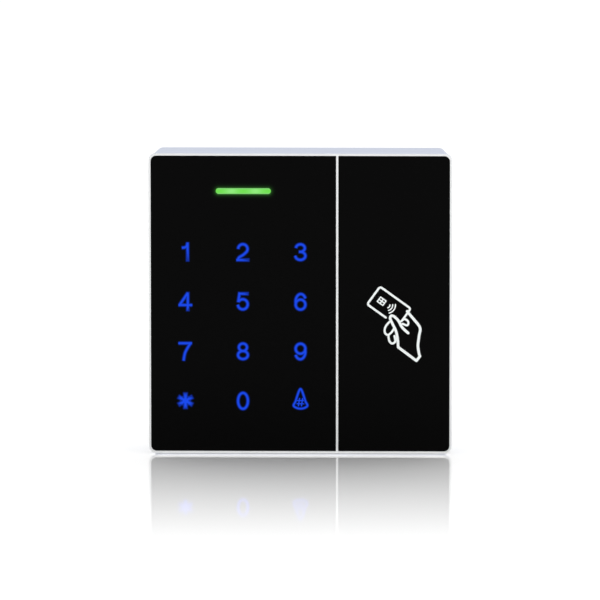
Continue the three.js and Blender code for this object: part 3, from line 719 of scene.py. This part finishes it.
def make_card_sign():
    """The white card and hand, one thin layer over the other where their lines meet."""
    heavy, light = hand_strokes()
    shapes = {
        "sign_card": ([card_edge()], SIGN_STROKE),
        "sign_card_mark": (card_mark(), CARD_MARK_STROKE),
        "sign_hand": (heavy, HAND_STROKE),
        "sign_fingers": (light, SIGN_STROKE),
    }
    for layer, (name, (strokes, stroke)) in enumerate(shapes.items()):
        inlay(name, strokes, stroke, panel_depths(layer), white_print)


make_card_sign()

# ---- the inside

tape = moulded("black_tape", (0.015, 0.015, 0.016), 0.85, grain=0.2, depth=0.02)
milky = moulded("milky_sheet", (0.78, 0.80, 0.81), 0.45, grain=0.15, depth=0.004, variation=0.1)
epoxy = moulded("black_epoxy", (0.012, 0.013, 0.014), 0.55, grain=0.12, depth=0.008)
white_nylon = moulded("white_nylon", (0.74, 0.72, 0.66), 0.5)
green_nylon = moulded("green_nylon", (0.03, 0.2, 0.06), 0.5)
red_insulation = moulded("red_insulation", (0.4, 0.025, 0.02), 0.5)
tin_can = metal("tin_can", (0.62, 0.63, 0.64), 0.3, stretch=(1, 1, 6))
copper_wire = metal("copper_wire", (0.66, 0.24, 0.09), 0.3)
led_lens = moulded("led_lens", (0.82, 0.78, 0.58), 0.25, grain=0.8, depth=0.002)

TRACK_CELLS_PER_METRE = 160.0


def board_material():
    """Green solder mask with buried copper tracks that run square and slantwise."""
    look = Look("solder_mask", Roughness=0.3)
    point = look.add("ShaderNodeTexCoord", output=3)
    inputs = {"Vector": point, "Scale": TRACK_CELLS_PER_METRE}
    first, second = (
        look.add("ShaderNodeTexVoronoi", inputs, feature=feature, distance="CHEBYCHEV")
        for feature in ("F1", "F2")
    )
    track = look.minus(1.0, look.step(look.minus(second, first), 0.06, 0.1))
    cloud = look.noise(14)
    mask = look.mix(cloud, (0.006, 0.070, 0.024), (0.010, 0.100, 0.036))
    look.set(Base_Color=look.mix(look.times(track, 0.75), mask, (0.03, 0.20, 0.06)))
    look.set(Coat_Weight=0.4, Coat_Roughness=0.12)
    return look.bump(look.plus(track, look.times(look.noise(0.3), 0.3)), 0.02).material


PIN_MARK_INSET = 0.9
PIN_MARK_HALF = 0.4


def chip_material(node, sides):
    """Black epoxy with a pin-one dimple, and tinned legs outside the body."""
    left, right, bottom, top, _, _ = node_box(node)
    middle_x, middle_z = node_middle(node)
    look = Look(f"{node}_epoxy")
    x, z, _ = look.position()
    body_half_z = (top - bottom) / 2 - CHIP_LEG_REACH
    body_half_x = (right - left) / 2 - (CHIP_LEG_REACH if sides == 4 else 0)
    past_z = look.minus(look.aside(z, middle_z), body_half_z)
    past_x = look.minus(look.aside(x, middle_x), body_half_x)
    leg = look.past(look.largest(past_x, past_z), 0.03, 0.01)
    grain = look.noise(0.12, detail=4)
    dark = look.mix(grain, (0.010, 0.011, 0.012), (0.022, 0.023, 0.024))
    look.set(Base_Color=look.mix(leg, dark, (0.72, 0.72, 0.70)), Metallic=leg)
    look.set(Roughness=look.minus(look.level(grain, 0.5, 0.65), look.times(leg, 0.3)))
    mark_x = look.aside(x, middle_x - body_half_x + PIN_MARK_INSET)
    mark_z = look.aside(z, middle_z + body_half_z - PIN_MARK_INSET)
    dimple = look.past(look.largest(mark_x, mark_z), PIN_MARK_HALF, 0.05)
    return look.bump(look.plus(dimple, look.times(grain, 0.1)), 0.05).material


CAN_END_DEPTH = 0.35
CAN_RIM = 0.5
STRIPE_START = 0.72
VENT_HALF = 0.13
VENT_REACH = 0.62


def capacitor_material(node):
    """A dark sleeve with a pale stripe down one side, and a bare aluminium end with a vent cross, painted
    dark as shade in its groove.
    """
    left, right, _, _, back, _ = node_box(node)
    middle_x, middle_z = node_middle(node)
    radius = (right - left) / 2
    look = Look(f"{node}_sleeve")
    x, z, depth = look.position()
    across, along = look.aside(x, middle_x), look.aside(z, middle_z)
    out = look.length(across, along)
    end = look.times(look.below(depth, back + CAN_END_DEPTH), look.below(out, radius - CAN_RIM))
    stripe = look.below(x, middle_x - STRIPE_START * radius)
    vent_and_shade = look.below(look.math("MINIMUM", across, along), VENT_HALF)
    vent_and_shade = look.times(vent_and_shade, look.below(out, VENT_REACH * radius))
    grain = look.noise(0.4)
    dark = look.mix(grain, (0.006, 0.012, 0.05), (0.012, 0.022, 0.08))
    sleeve = look.mix(stripe, dark, (0.55, 0.57, 0.60))
    bare = look.mix(grain, (0.68, 0.69, 0.70), (0.82, 0.83, 0.84))
    # The vent cross is painted dark: painted shade in its scored groove, over the groove's real dip.
    bare = look.mix(vent_and_shade, bare, (0.30, 0.30, 0.31))
    look.set(Base_Color=look.mix(end, sleeve, bare), Metallic=end)
    look.set(Roughness=look.level(grain, 0.28, 0.42))
    return look.bump(look.minus(look.times(grain, 0.1), vent_and_shade), 0.06).material


TURNING_PITCH = 0.5


def buzzer_material():
    """A black sounder with fine concentric turning marks."""
    look = Look("buzzer_case", Roughness=0.5)
    x, z, _ = look.position()
    middle_x, middle_z = node_middle("buzzer")
    out = look.length(look.aside(x, middle_x), look.aside(z, middle_z))
    rings = look.math("SINE", look.times(out, 2 * math.pi / TURNING_PITCH))
    grain = look.noise(0.3)
    look.set(Base_Color=look.mix(grain, (0.012, 0.012, 0.013), (0.028, 0.028, 0.030)))
    return look.bump(look.plus(look.times(rings, 0.2), grain), 0.015).material


def dress_inside():
    """A material for every CAD node inside the front unit, apart from the screws and the terminal."""
    groups = [
        (tape, "keypad_panel_tape", "card_panel_tape"),
        (milky, "diffuser_plate"),
        (board_material(), "main_board"),
        (red_insulation, "antenna_lead_1", "antenna_lead_2"),
        (white_nylon, "antenna_socket", "tamper_plunger"),
        (epoxy, "relay", "power_inductor", "tamper_switch_body", "reset_button"),
        (tin_can, "crystal", "reset_switch_body"),
        (buzzer_material(), "buzzer"),
        (chip_material("mcu_chip", sides=4), "mcu_chip"),
    ]
    for node in ("reader_chip", "memory_chip", "regulator", "protection_diode"):
        groups.append((chip_material(node, sides=2), node))
    groups += [(capacitor_material(node), node) for node in CAPACITORS]
    for material, *nodes in groups:
        for node in nodes:
            dress(node, material, 0.08)
    for node in KEY_LIGHTS + ["status_led_left", "status_led_right"]:
        dress(node, led_lens, 0.06)


dress_inside()

# ---- lofted pieces


def ring_faces(levels, count, closed=False):
    """The four-sided faces between rings of points; closed joins the last ring to the first."""
    faces = []
    for level in range(levels if closed else levels - 1):
        low, high = level * count, (level + 1) % levels * count
        faces += [[low + i, low + (i + 1) % count, high + (i + 1) % count, high + i] for i in range(count)]
    return faces


def loft(name, rings, material, body):
    """A closed piece through rings of points in metres, capped at its first and last ring."""
    count = len(rings[0])
    last = (len(rings) - 1) * count
    verts = [point for ring in rings for point in ring]
    faces = [list(reversed(range(count)))] + ring_faces(len(rings), count)
    faces.append([last + i for i in range(count)])
    obj = make_piece(name, verts, faces, material, body)
    soften(obj)
    return obj


def round_ring(middle, first, second, radius_at, count):
    """Points round a middle, in the plane of two directions."""
    angles = [2 * math.pi * i / count for i in range(count)]
    return [middle + (first * math.cos(a) + second * math.sin(a)) * radius_at(a) * MM for a in angles]


THREAD_PITCH = 0.5
THREAD_DEPTH = 0.22
THREAD_RINGS = 6
THREAD_START = 0.7
THREAD_END = 1.3
SHANK_RADIUS = 1.5
HEAD_HEIGHT = 1.7
SOCKET_RADIUS = 1.3
SOCKET_MOUTH = 1.5
SOCKET_DEPTH = 1.0
HEAD_EDGE = 0.12
SCREW_POINTS = 36


def make_lock_screw():
    """A pan-head screw with a hexagon socket in its head and a real thread."""
    left, right, bottom, top, back, front = node_box("lock_screw")
    axis_x, axis_depth = (left + right) / 2, (back + front) / 2
    head = (right - left) / 2
    head_top = bottom + HEAD_HEIGHT
    across, out = Vector((1, 0, 0)), Vector((0, 1, 0))

    def ring(height, radius_at):
        return round_ring(place(axis_x, height, axis_depth), across, out, radius_at, SCREW_POINTS)

    def circle(height, radius):
        return ring(height, lambda _: radius)

    def hexagon(height, radius):
        side = math.pi / 3
        return ring(height, lambda a: radius * math.cos(side / 2) / math.cos(a % side - side / 2))

    def thread(height):
        def radius_at(angle):
            turn = (height / THREAD_PITCH - angle / (2 * math.pi)) % 1
            return SHANK_RADIUS - THREAD_DEPTH * abs(2 * turn - 1)
        return ring(height, radius_at)

    rings = [circle(bottom + SOCKET_DEPTH + 0.15, 0.1)]
    rings += [hexagon(height, SOCKET_RADIUS) for height in (bottom + SOCKET_DEPTH, bottom + HEAD_EDGE)]
    head_sides = [
        (bottom, SOCKET_MOUTH), (bottom, head - 0.35), (bottom + HEAD_EDGE, head - 0.1), (bottom + 0.4, head),
        (head_top - HEAD_EDGE, head), (head_top, head - HEAD_EDGE),
        (head_top, SHANK_RADIUS), (head_top + 0.5, SHANK_RADIUS),
    ]
    rings += [circle(height, radius) for height, radius in head_sides]
    step = THREAD_PITCH / THREAD_RINGS
    steps = round((top - head_top - THREAD_END) / step)
    rings += [thread(head_top + THREAD_START + i * step) for i in range(steps)]
    rings += [circle(top - 0.4, SHANK_RADIUS - 0.3), circle(top, 0.8)]
    piece = loft("lock_screw_detail", rings, zinc_steel, "lock_screw")
    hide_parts("lock_screw")


COIL_WIRE = 0.4
COIL_DIP = 0.35 * COIL_WIRE
COIL_BUMP_POINTS = 4
COIL_CORNER = 9.0
COIL_CORNER_STEPS = 8
COIL_BUNDLE = 3.6


def coil_path():
    """Round the coil, its corners' centres and the way out from them, with a quarter turn at each."""
    left, right, bottom, top, _, _ = node_box("antenna_coil")
    middle_x, middle_z = node_middle("antenna_coil")
    reach_x, reach_z = (right - left) / 2 - COIL_CORNER, (top - bottom) / 2 - COIL_CORNER
    path = []
    for turn, (side_x, side_z) in enumerate([(1, 1), (-1, 1), (-1, -1), (1, -1)]):
        for i in range(COIL_CORNER_STEPS + 1):
            angle = math.radians(90 * (turn + i / COIL_CORNER_STEPS))
            centre = (middle_x + side_x * reach_x, middle_z + side_z * reach_z)
            path.append((*centre, math.cos(angle), math.sin(angle)))
    return path


def coil_section():
    """The bundle's outline, inwards and in depth, with a dip between each wire and the next."""
    back, front = node_box("antenna_coil")[4:]
    thick = front - back
    sides = [
        ((0, back), (1, 0), COIL_BUNDLE),
        ((COIL_BUNDLE, back), (0, 1), thick),
        ((COIL_BUNDLE, front), (-1, 0), COIL_BUNDLE),
        ((0, front), (0, -1), thick),
    ]
    section = []
    for (start_in, start_depth), (step_in, step_depth), length in sides:
        wires = round(length / COIL_WIRE)
        points = wires * COIL_BUMP_POINTS
        for i in range(points):
            run = length * i / points
            dip = COIL_DIP * (1 - abs(math.sin(math.pi * run * wires / length)))
            inward = start_in + step_in * run - step_depth * dip
            section.append((inward, start_depth + step_depth * run + step_in * dip))
    return section


def make_antenna_coil():
    """The card antenna: a flat bundle of copper turns round a rounded oblong."""
    path, section = coil_path(), coil_section()
    verts = []
    for centre_x, centre_z, way_x, way_z in path:
        for inward, deep in section:
            radius = COIL_CORNER - inward
            verts.append(place(centre_x + way_x * radius, centre_z + way_z * radius, deep))
    faces = ring_faces(len(path), len(section), closed=True)
    piece = make_piece("antenna_windings", verts, faces, copper_wire, "front_unit")
    soften(piece)
    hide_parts("antenna_coil")


make_lock_screw()
make_antenna_coil()
for screw in BOARD_SCREWS:
    dress(screw, zinc_steel, 0.06)

# ---- board details

TRACK_STROKE = 0.3
TRACK_HEIGHT = 0.03
PAD_STROKE = 0.55
PAD_HEIGHT = 0.045
PAD_HALF = 0.02
SCREW_PAD_RADIUS = 2.2
SILK_STROKE = 0.18
SILK_HEIGHT = 0.02
SILK_MARGIN = 0.7
SMD_LENGTH = 1.6
SMD_WIDTH = 0.85
SMD_TALL = 0.55
SMD_CAP = 0.32
SMD_INSET = 0.03
BLOCK_BEVEL = 0.06


def copper_pads_material():
    """Bare tinned pads with a wavy solder surface."""
    look = Look("tinned_pads", Metallic=1.0)
    waves = look.noise(0.6, detail=2)
    look.set(Base_Color=look.mix(waves, (0.62, 0.62, 0.60), (0.80, 0.80, 0.78)))
    look.set(Roughness=look.level(waves, 0.2, 0.4))
    return look.bump(waves, 0.03).material


def raised(name, strokes, stroke, height, material):
    """Thin raised shapes on the back of the board."""
    depths = (BOARD_BACK - height, BOARD_BACK + INLAY_DEEP)
    inlay(name, strokes, stroke, depths, material)


def slanted(start, end, corner=1.6):
    """A track that leaves level, turns with a slanted corner and arrives upright."""
    (x0, z0), (x1, z1) = start, end
    corner = min(corner, abs(x1 - x0), abs(z1 - z0))
    back = math.copysign(corner, x1 - x0)
    rise = math.copysign(corner, z1 - z0)
    return [start, (x1 - back, z0), (x1, z0 + rise), end]


# The sides of a block, by its eight corners in the order that blocks() makes them.
BLOCK_SIDES = [(0, 1, 3, 2), (4, 6, 7, 5), (0, 4, 5, 1), (2, 3, 7, 6), (0, 2, 6, 4), (1, 5, 7, 3)]


def blocks(name, boxes, material):
    """Many small plain blocks on the board as one piece, with softened edges."""
    verts, faces = [], []
    for x, z, half_x, half_z, near, far in boxes:
        faces += [[len(verts) + i for i in side] for side in BLOCK_SIDES]
        for side_x in (-half_x, half_x):
            for side_z in (-half_z, half_z):
                verts += [place(x + side_x, z + side_z, depth) for depth in (near, far)]
    soften(make_piece(name, verts, faces, material, "front_unit"), BLOCK_BEVEL)


# The small parts' places on the back of the board, and 1 for those that stand upright.
SMD_PLACES = [
    (-22, 24, 0), (-22, 22, 0), (-22, 20, 0), (-22, 4, 1), (-20, 4, 1), (-18, 14, 1), (-4.5, 16, 1),
    (-3, 6, 0), (-3, 4, 0), (-3, 2, 0), (-20, -3, 0), (-20, -5, 0), (-4, -5, 1), (-2.5, -13, 0),
    (-20, -13, 0), (-17, -24, 1), (-15, -24, 1), (-6, -25, 0), (-6, -33, 0), (-26, -14, 1), (-43, -4, 1),
    (-43, 4, 1), (-43, 16, 0), (-26, 40, 0), (-26, 42, 0), (-4, 26, 1), (3, -20, 0), (3, -22, 0), (3, -26, 1),
    (-28, 20, 1), (-40, -14, 0), (-46, -12, 1), (-25, 3, 1), (-4, -39, 0), (-18, -41, 1),
]


TERMINAL_WAYS = 8
LEVER_RADIUS = 0.82
LEVER_POINTS = 20
# A lever's radius at each depth, from its root to the dimple in its end.
LEVER_PROFILE = [
    (0.6, 1.4), (LEVER_RADIUS, 1.4), (LEVER_RADIUS, 0.12), (LEVER_RADIUS - 0.12, 0),
    (0.4, 0), (0.36, 0.15), (0.1, 0.15),
]
# The two blocks of a wire clamp: their height over the terminal's foot, half height and depths.
CLAMP_BLOCKS = [(4.6, 0.25, 2.8, 5.0), (2.9, 1.6, 4.75, 5.0)]
CLAMP_HALF_WIDTH = 1.15


def terminal_ways():
    """Where the wiring terminal takes its wires, from left to right."""
    left, right = node_box("wiring_terminal")[:2]
    return [left + (way + 0.5) * (right - left) / TERMINAL_WAYS for way in range(TERMINAL_WAYS)]


def make_terminal():
    """The wiring terminal's plastic, with a release lever and a metal clamp for each wire."""
    dress("wiring_terminal", green_nylon)
    _, _, bottom, top, back, _ = node_box("wiring_terminal")
    lever_z = (bottom + top) / 2 + (top - bottom) / 5
    across, up = Vector((-1, 0, 0)), Vector((0, 0, 1))
    clamps = []
    for way, x in enumerate(terminal_ways()):
        rings = [
            round_ring(place(x, lever_z, back + deep), across, up, lambda _, r=radius: r, LEVER_POINTS)
            for radius, deep in LEVER_PROFILE
        ]
        loft(f"release_lever_{way + 1}", rings, white_nylon, "front_unit")
        for rise, half, near, far in CLAMP_BLOCKS:
            clamps.append((x, bottom + rise, CLAMP_HALF_WIDTH, half, back + near, back + far))
    blocks("terminal_clamps", clamps, tin_can)


def make_small_parts():
    """Chip resistors and capacitors in the free places on the back of the board."""
    bodies, caps = [], []
    outside = BOARD_BACK - SMD_TALL
    reach = (SMD_LENGTH - SMD_CAP) / 2
    for x, z, upright in SMD_PLACES:
        half = (SMD_WIDTH / 2, SMD_LENGTH / 2) if upright else (SMD_LENGTH / 2, SMD_WIDTH / 2)
        way = (0, 1) if upright else (1, 0)
        bodies.append((x, z, half[0] - SMD_INSET, half[1] - SMD_INSET, outside + SMD_INSET, BOARD_BACK))
        for side in (-reach, reach):
            cap_half = (half[0], SMD_CAP / 2) if upright else (SMD_CAP / 2, half[1])
            caps.append((x + way[0] * side, z + way[1] * side, *cap_half, outside, BOARD_BACK))
    blocks("small_part_bodies", bodies, epoxy)
    blocks("small_part_ends", caps, tin_can)


def silk_frame(node):
    """The printed outline round a part."""
    left, right, bottom, top, _, _ = node_box(node)
    left, bottom = left - SILK_MARGIN, bottom - SILK_MARGIN
    right, top = right + SILK_MARGIN, top + SILK_MARGIN
    return [(left, bottom), (left, top), (right, top), (right, bottom), (left, bottom)]


def make_board_print():
    """White part outlines, and round ones for the capacitors and the buzzer."""
    nodes = [
        "mcu_chip", "reader_chip", "memory_chip", "crystal", "relay", "wiring_terminal", "regulator",
        "power_inductor", "protection_diode", "antenna_socket", "tamper_switch_body", "reset_switch_body",
    ]
    strokes = [silk_frame(node) for node in nodes]
    for node in CAPACITORS + ["buzzer"]:
        x, z = node_middle(node)
        left, right = node_box(node)[:2]
        radius = (right - left) / 2 + SILK_MARGIN
        strokes.append(arc(x, z, radius, radius, 0, 360, 40))
    raised("board_print", strokes, SILK_STROKE, SILK_HEIGHT, white_print)


# Tracks leave the controller this far apart, and end beside each key light's foot.
CONTROLLER_FIRST_TRACK = 1.2
CONTROLLER_TRACK_PITCH = 0.7
LIGHT_ASIDE = 2.4
LIGHT_BELOW = 1.5
COLUMN_SHIFT = 0.5
# Tracks leave the terminal upwards, and turn slantwise one after the other.
FEED_START = 8
FEED_TURN = 10
FEED_PITCH = 0.8
FEED_SLANT = 4
SOCKET_TRACK_PITCH = 1.2
SOCKET_HALF = 3


def track_lines():
    """Tracks from the controller to the key lights, from the terminal, and to the antenna socket."""
    left, right, foot, _, _, _ = node_box("mcu_chip")
    lines = []
    for i, (x, z) in enumerate(KEY_PLACES):
        start = (left if x < left else right, foot + CONTROLLER_FIRST_TRACK + CONTROLLER_TRACK_PITCH * i)
        end = (x - LIGHT_ASIDE + COLUMN_SHIFT * (i % 3), z - LIGHT_BELOW)
        lines.append(slanted(start, end))
    foot = node_box("wiring_terminal")[2]
    for way, x in enumerate(terminal_ways()):
        turn = foot + FEED_TURN + way * FEED_PITCH
        lines.append([(x, foot + FEED_START), (x, turn), (x + FEED_SLANT, turn + FEED_SLANT)])
    socket_x, socket_z = node_middle("antenna_socket")
    chip_edge = node_box("reader_chip")[1]
    for offset in (-SOCKET_TRACK_PITCH, 0, SOCKET_TRACK_PITCH):
        level = socket_z + offset
        lines.append([(chip_edge, level), (socket_x - SOCKET_HALF, level)])
    return lines


def make_tracks():
    """Raised copper under the mask, with a bare pad at each track's end and round each screw."""
    masked = moulded("masked_copper", (0.022, 0.17, 0.055), 0.3, grain=0.3, depth=0.004)
    lines = track_lines()
    raised("board_tracks", lines, TRACK_STROKE, TRACK_HEIGHT, masked)
    pads = [[(x - PAD_HALF, z), (x + PAD_HALF, z)] for x, z in (line[-1] for line in lines)]
    for x, z in map(node_middle, BOARD_SCREWS):
        pads.append(arc(x, z, SCREW_PAD_RADIUS, SCREW_PAD_RADIUS, 0, 360, 28))
    raised("board_pads", pads, PAD_STROKE, PAD_HEIGHT, copper_pads_material())


make_terminal()
make_small_parts()
make_board_print()
make_tracks()

# ---- stage and light

FLOOR_HALF = 3.0
FLOOR_DROP = 0.45
SHINE_REACH = 238.0
SHINE_LOSS = 10.0
POLISH = 0.8
CONTACT_REACH = 6.0
PAINTED_CONTACT_GLOW = 0.65


def make_floor():
    """A large pale floor just under the reader, polished close to it and matt farther off, with painted light
    along the reader's front edge.
    """
    look = Look("pale_floor", Coat_Weight=POLISH, Coat_Roughness=0.03)
    cloud = look.noise(60)
    base = look.mix(look.times(cloud, 0.05), grey(0.95), grey(0.9))
    look.set(Base_Color=base, Roughness=look.level(cloud, 0.02, 0.06))
    inputs = {"Base Color": base, "Specular IOR Level": 0.0, "Roughness": 0.9}
    matt = look.add("ShaderNodeBsdfPrincipled", inputs)
    x, _, depth = look.position()
    half_width, half_depth = cad_box[1].x / MM, -cad_box[0].y / MM / 2
    aside = look.beyond(x, 0.0, half_width)
    before = look.beyond(depth, half_depth, half_depth)
    away = look.step(look.length(aside, before), -SHINE_LOSS, SHINE_REACH)
    # Painted light: the floor glows white in a strip along the reader's front edge, lifting the contact
    # shadow there.
    from_front = look.aside(depth, 2 * half_depth)
    past_corner = look.beyond(x, 0.0, half_width - CONTACT_REACH)
    glow = look.step(look.length(past_corner, from_front), CONTACT_REACH, 0.0)
    look.set(Emission_Color=grey(1.0), Emission_Strength=look.times(glow, PAINTED_CONTACT_GLOW))
    blend = look.add("ShaderNodeMixShader", {0: away, 1: look.shader.outputs[0], 2: matt})
    look.feed(look.tree.nodes["Material Output"], "Surface", blend)
    mesh = bpy.data.meshes.new("floor")
    z = cad_box[0].z - FLOOR_DROP * MM
    corners = [(-1, -1), (1, -1), (1, 1), (-1, 1)]
    mesh.from_pydata([(FLOOR_HALF * x, FLOOR_HALF * y, z) for x, y in corners], [], [(0, 1, 2, 3)])
    mesh.materials.append(look.material)
    new_object("floor", mesh)


WORLD_FRONT = 0.3
WORLD_BACK = 1.05
WORLD_FADE_START = -0.85
WORLD_FADE_END = -0.1


def make_world():
    """Soft white surroundings, dimmer in front of the reader so that its panels stay dark."""
    world = bpy.data.worlds.new("studio")
    world.use_nodes = True
    scene.world = world
    studio = Nodes(world.node_tree)
    direction = studio.add("ShaderNodeTexCoord")
    fade = {
        "Value": studio.add("ShaderNodeSeparateXYZ", {0: direction}, output=1),
        "From Min": WORLD_FADE_START,
        "From Max": WORLD_FADE_END,
        "To Min": WORLD_FRONT,
        "To Max": WORLD_BACK,
    }
    strength = studio.add("ShaderNodeMapRange", fade)
    to_camera = studio.add("ShaderNodeLightPath")
    strength = studio.add("ShaderNodeMix", {0: to_camera, 2: strength, 3: WORLD_BACK})
    background = world.node_tree.nodes["Background"]
    studio.feed(background, "Strength", strength)
    studio.feed(background, "Color", (1.0, 1.0, 1.0))


def look_along(obj, way):
    """Turns a light or the camera to a direction."""
    obj.rotation_mode = "QUATERNION"
    obj.rotation_quaternion = way.to_track_quat("-Z", "Y")


def new_light(name, kind, **settings):
    """A light with its settings."""
    data = bpy.data.lights.new(name, kind)
    assign(data, settings)
    return new_object(name, data)


def area_light(name, location, size, power):
    """A square soft light that looks at the reader."""
    light = new_light(name, "AREA", size=size, energy=power)
    light.location = location
    look_along(light, -Vector(location))


# The sky is an even, very soft light from above that keeps the whole floor white.
SKY_SPREAD = math.radians(120)
SKY_POWER = 0.8

CAMERA_DISTANCE = 3.85
CAMERA_LENS = 583.9
CAMERA_AZIMUTH = 0.9
CAMERA_ELEVATION = 9.0
CAMERA_AIM = (-0.1, 1.55)
CAMERA_CLIP = (0.1, 30)


def make_camera():
    """A long lens a little above and to the right of the reader's front."""
    data = bpy.data.cameras.new("camera")
    data.lens = CAMERA_LENS
    data.clip_start, data.clip_end = CAMERA_CLIP
    camera = new_object("camera", data)
    azimuth, elevation = math.radians(CAMERA_AZIMUTH), math.radians(CAMERA_ELEVATION)
    level = math.cos(elevation)
    back = Vector((math.sin(azimuth) * level, -math.cos(azimuth) * level, math.sin(elevation)))
    target = place(*CAMERA_AIM, -cad_box[0].y / MM)
    camera.location = target + back * CAMERA_DISTANCE
    look_along(camera, -back)
    scene.camera = camera


make_floor()
make_world()
area_light("key", location=(0.9, -0.8, 0.25), size=0.5, power=4.0)
area_light("fill", location=(-0.8, -0.8, 0.5), size=0.6, power=1.0)
new_light("sky", "SUN", angle=SKY_SPREAD, energy=SKY_POWER)
make_camera()
scene.view_settings.view_transform = "Standard"
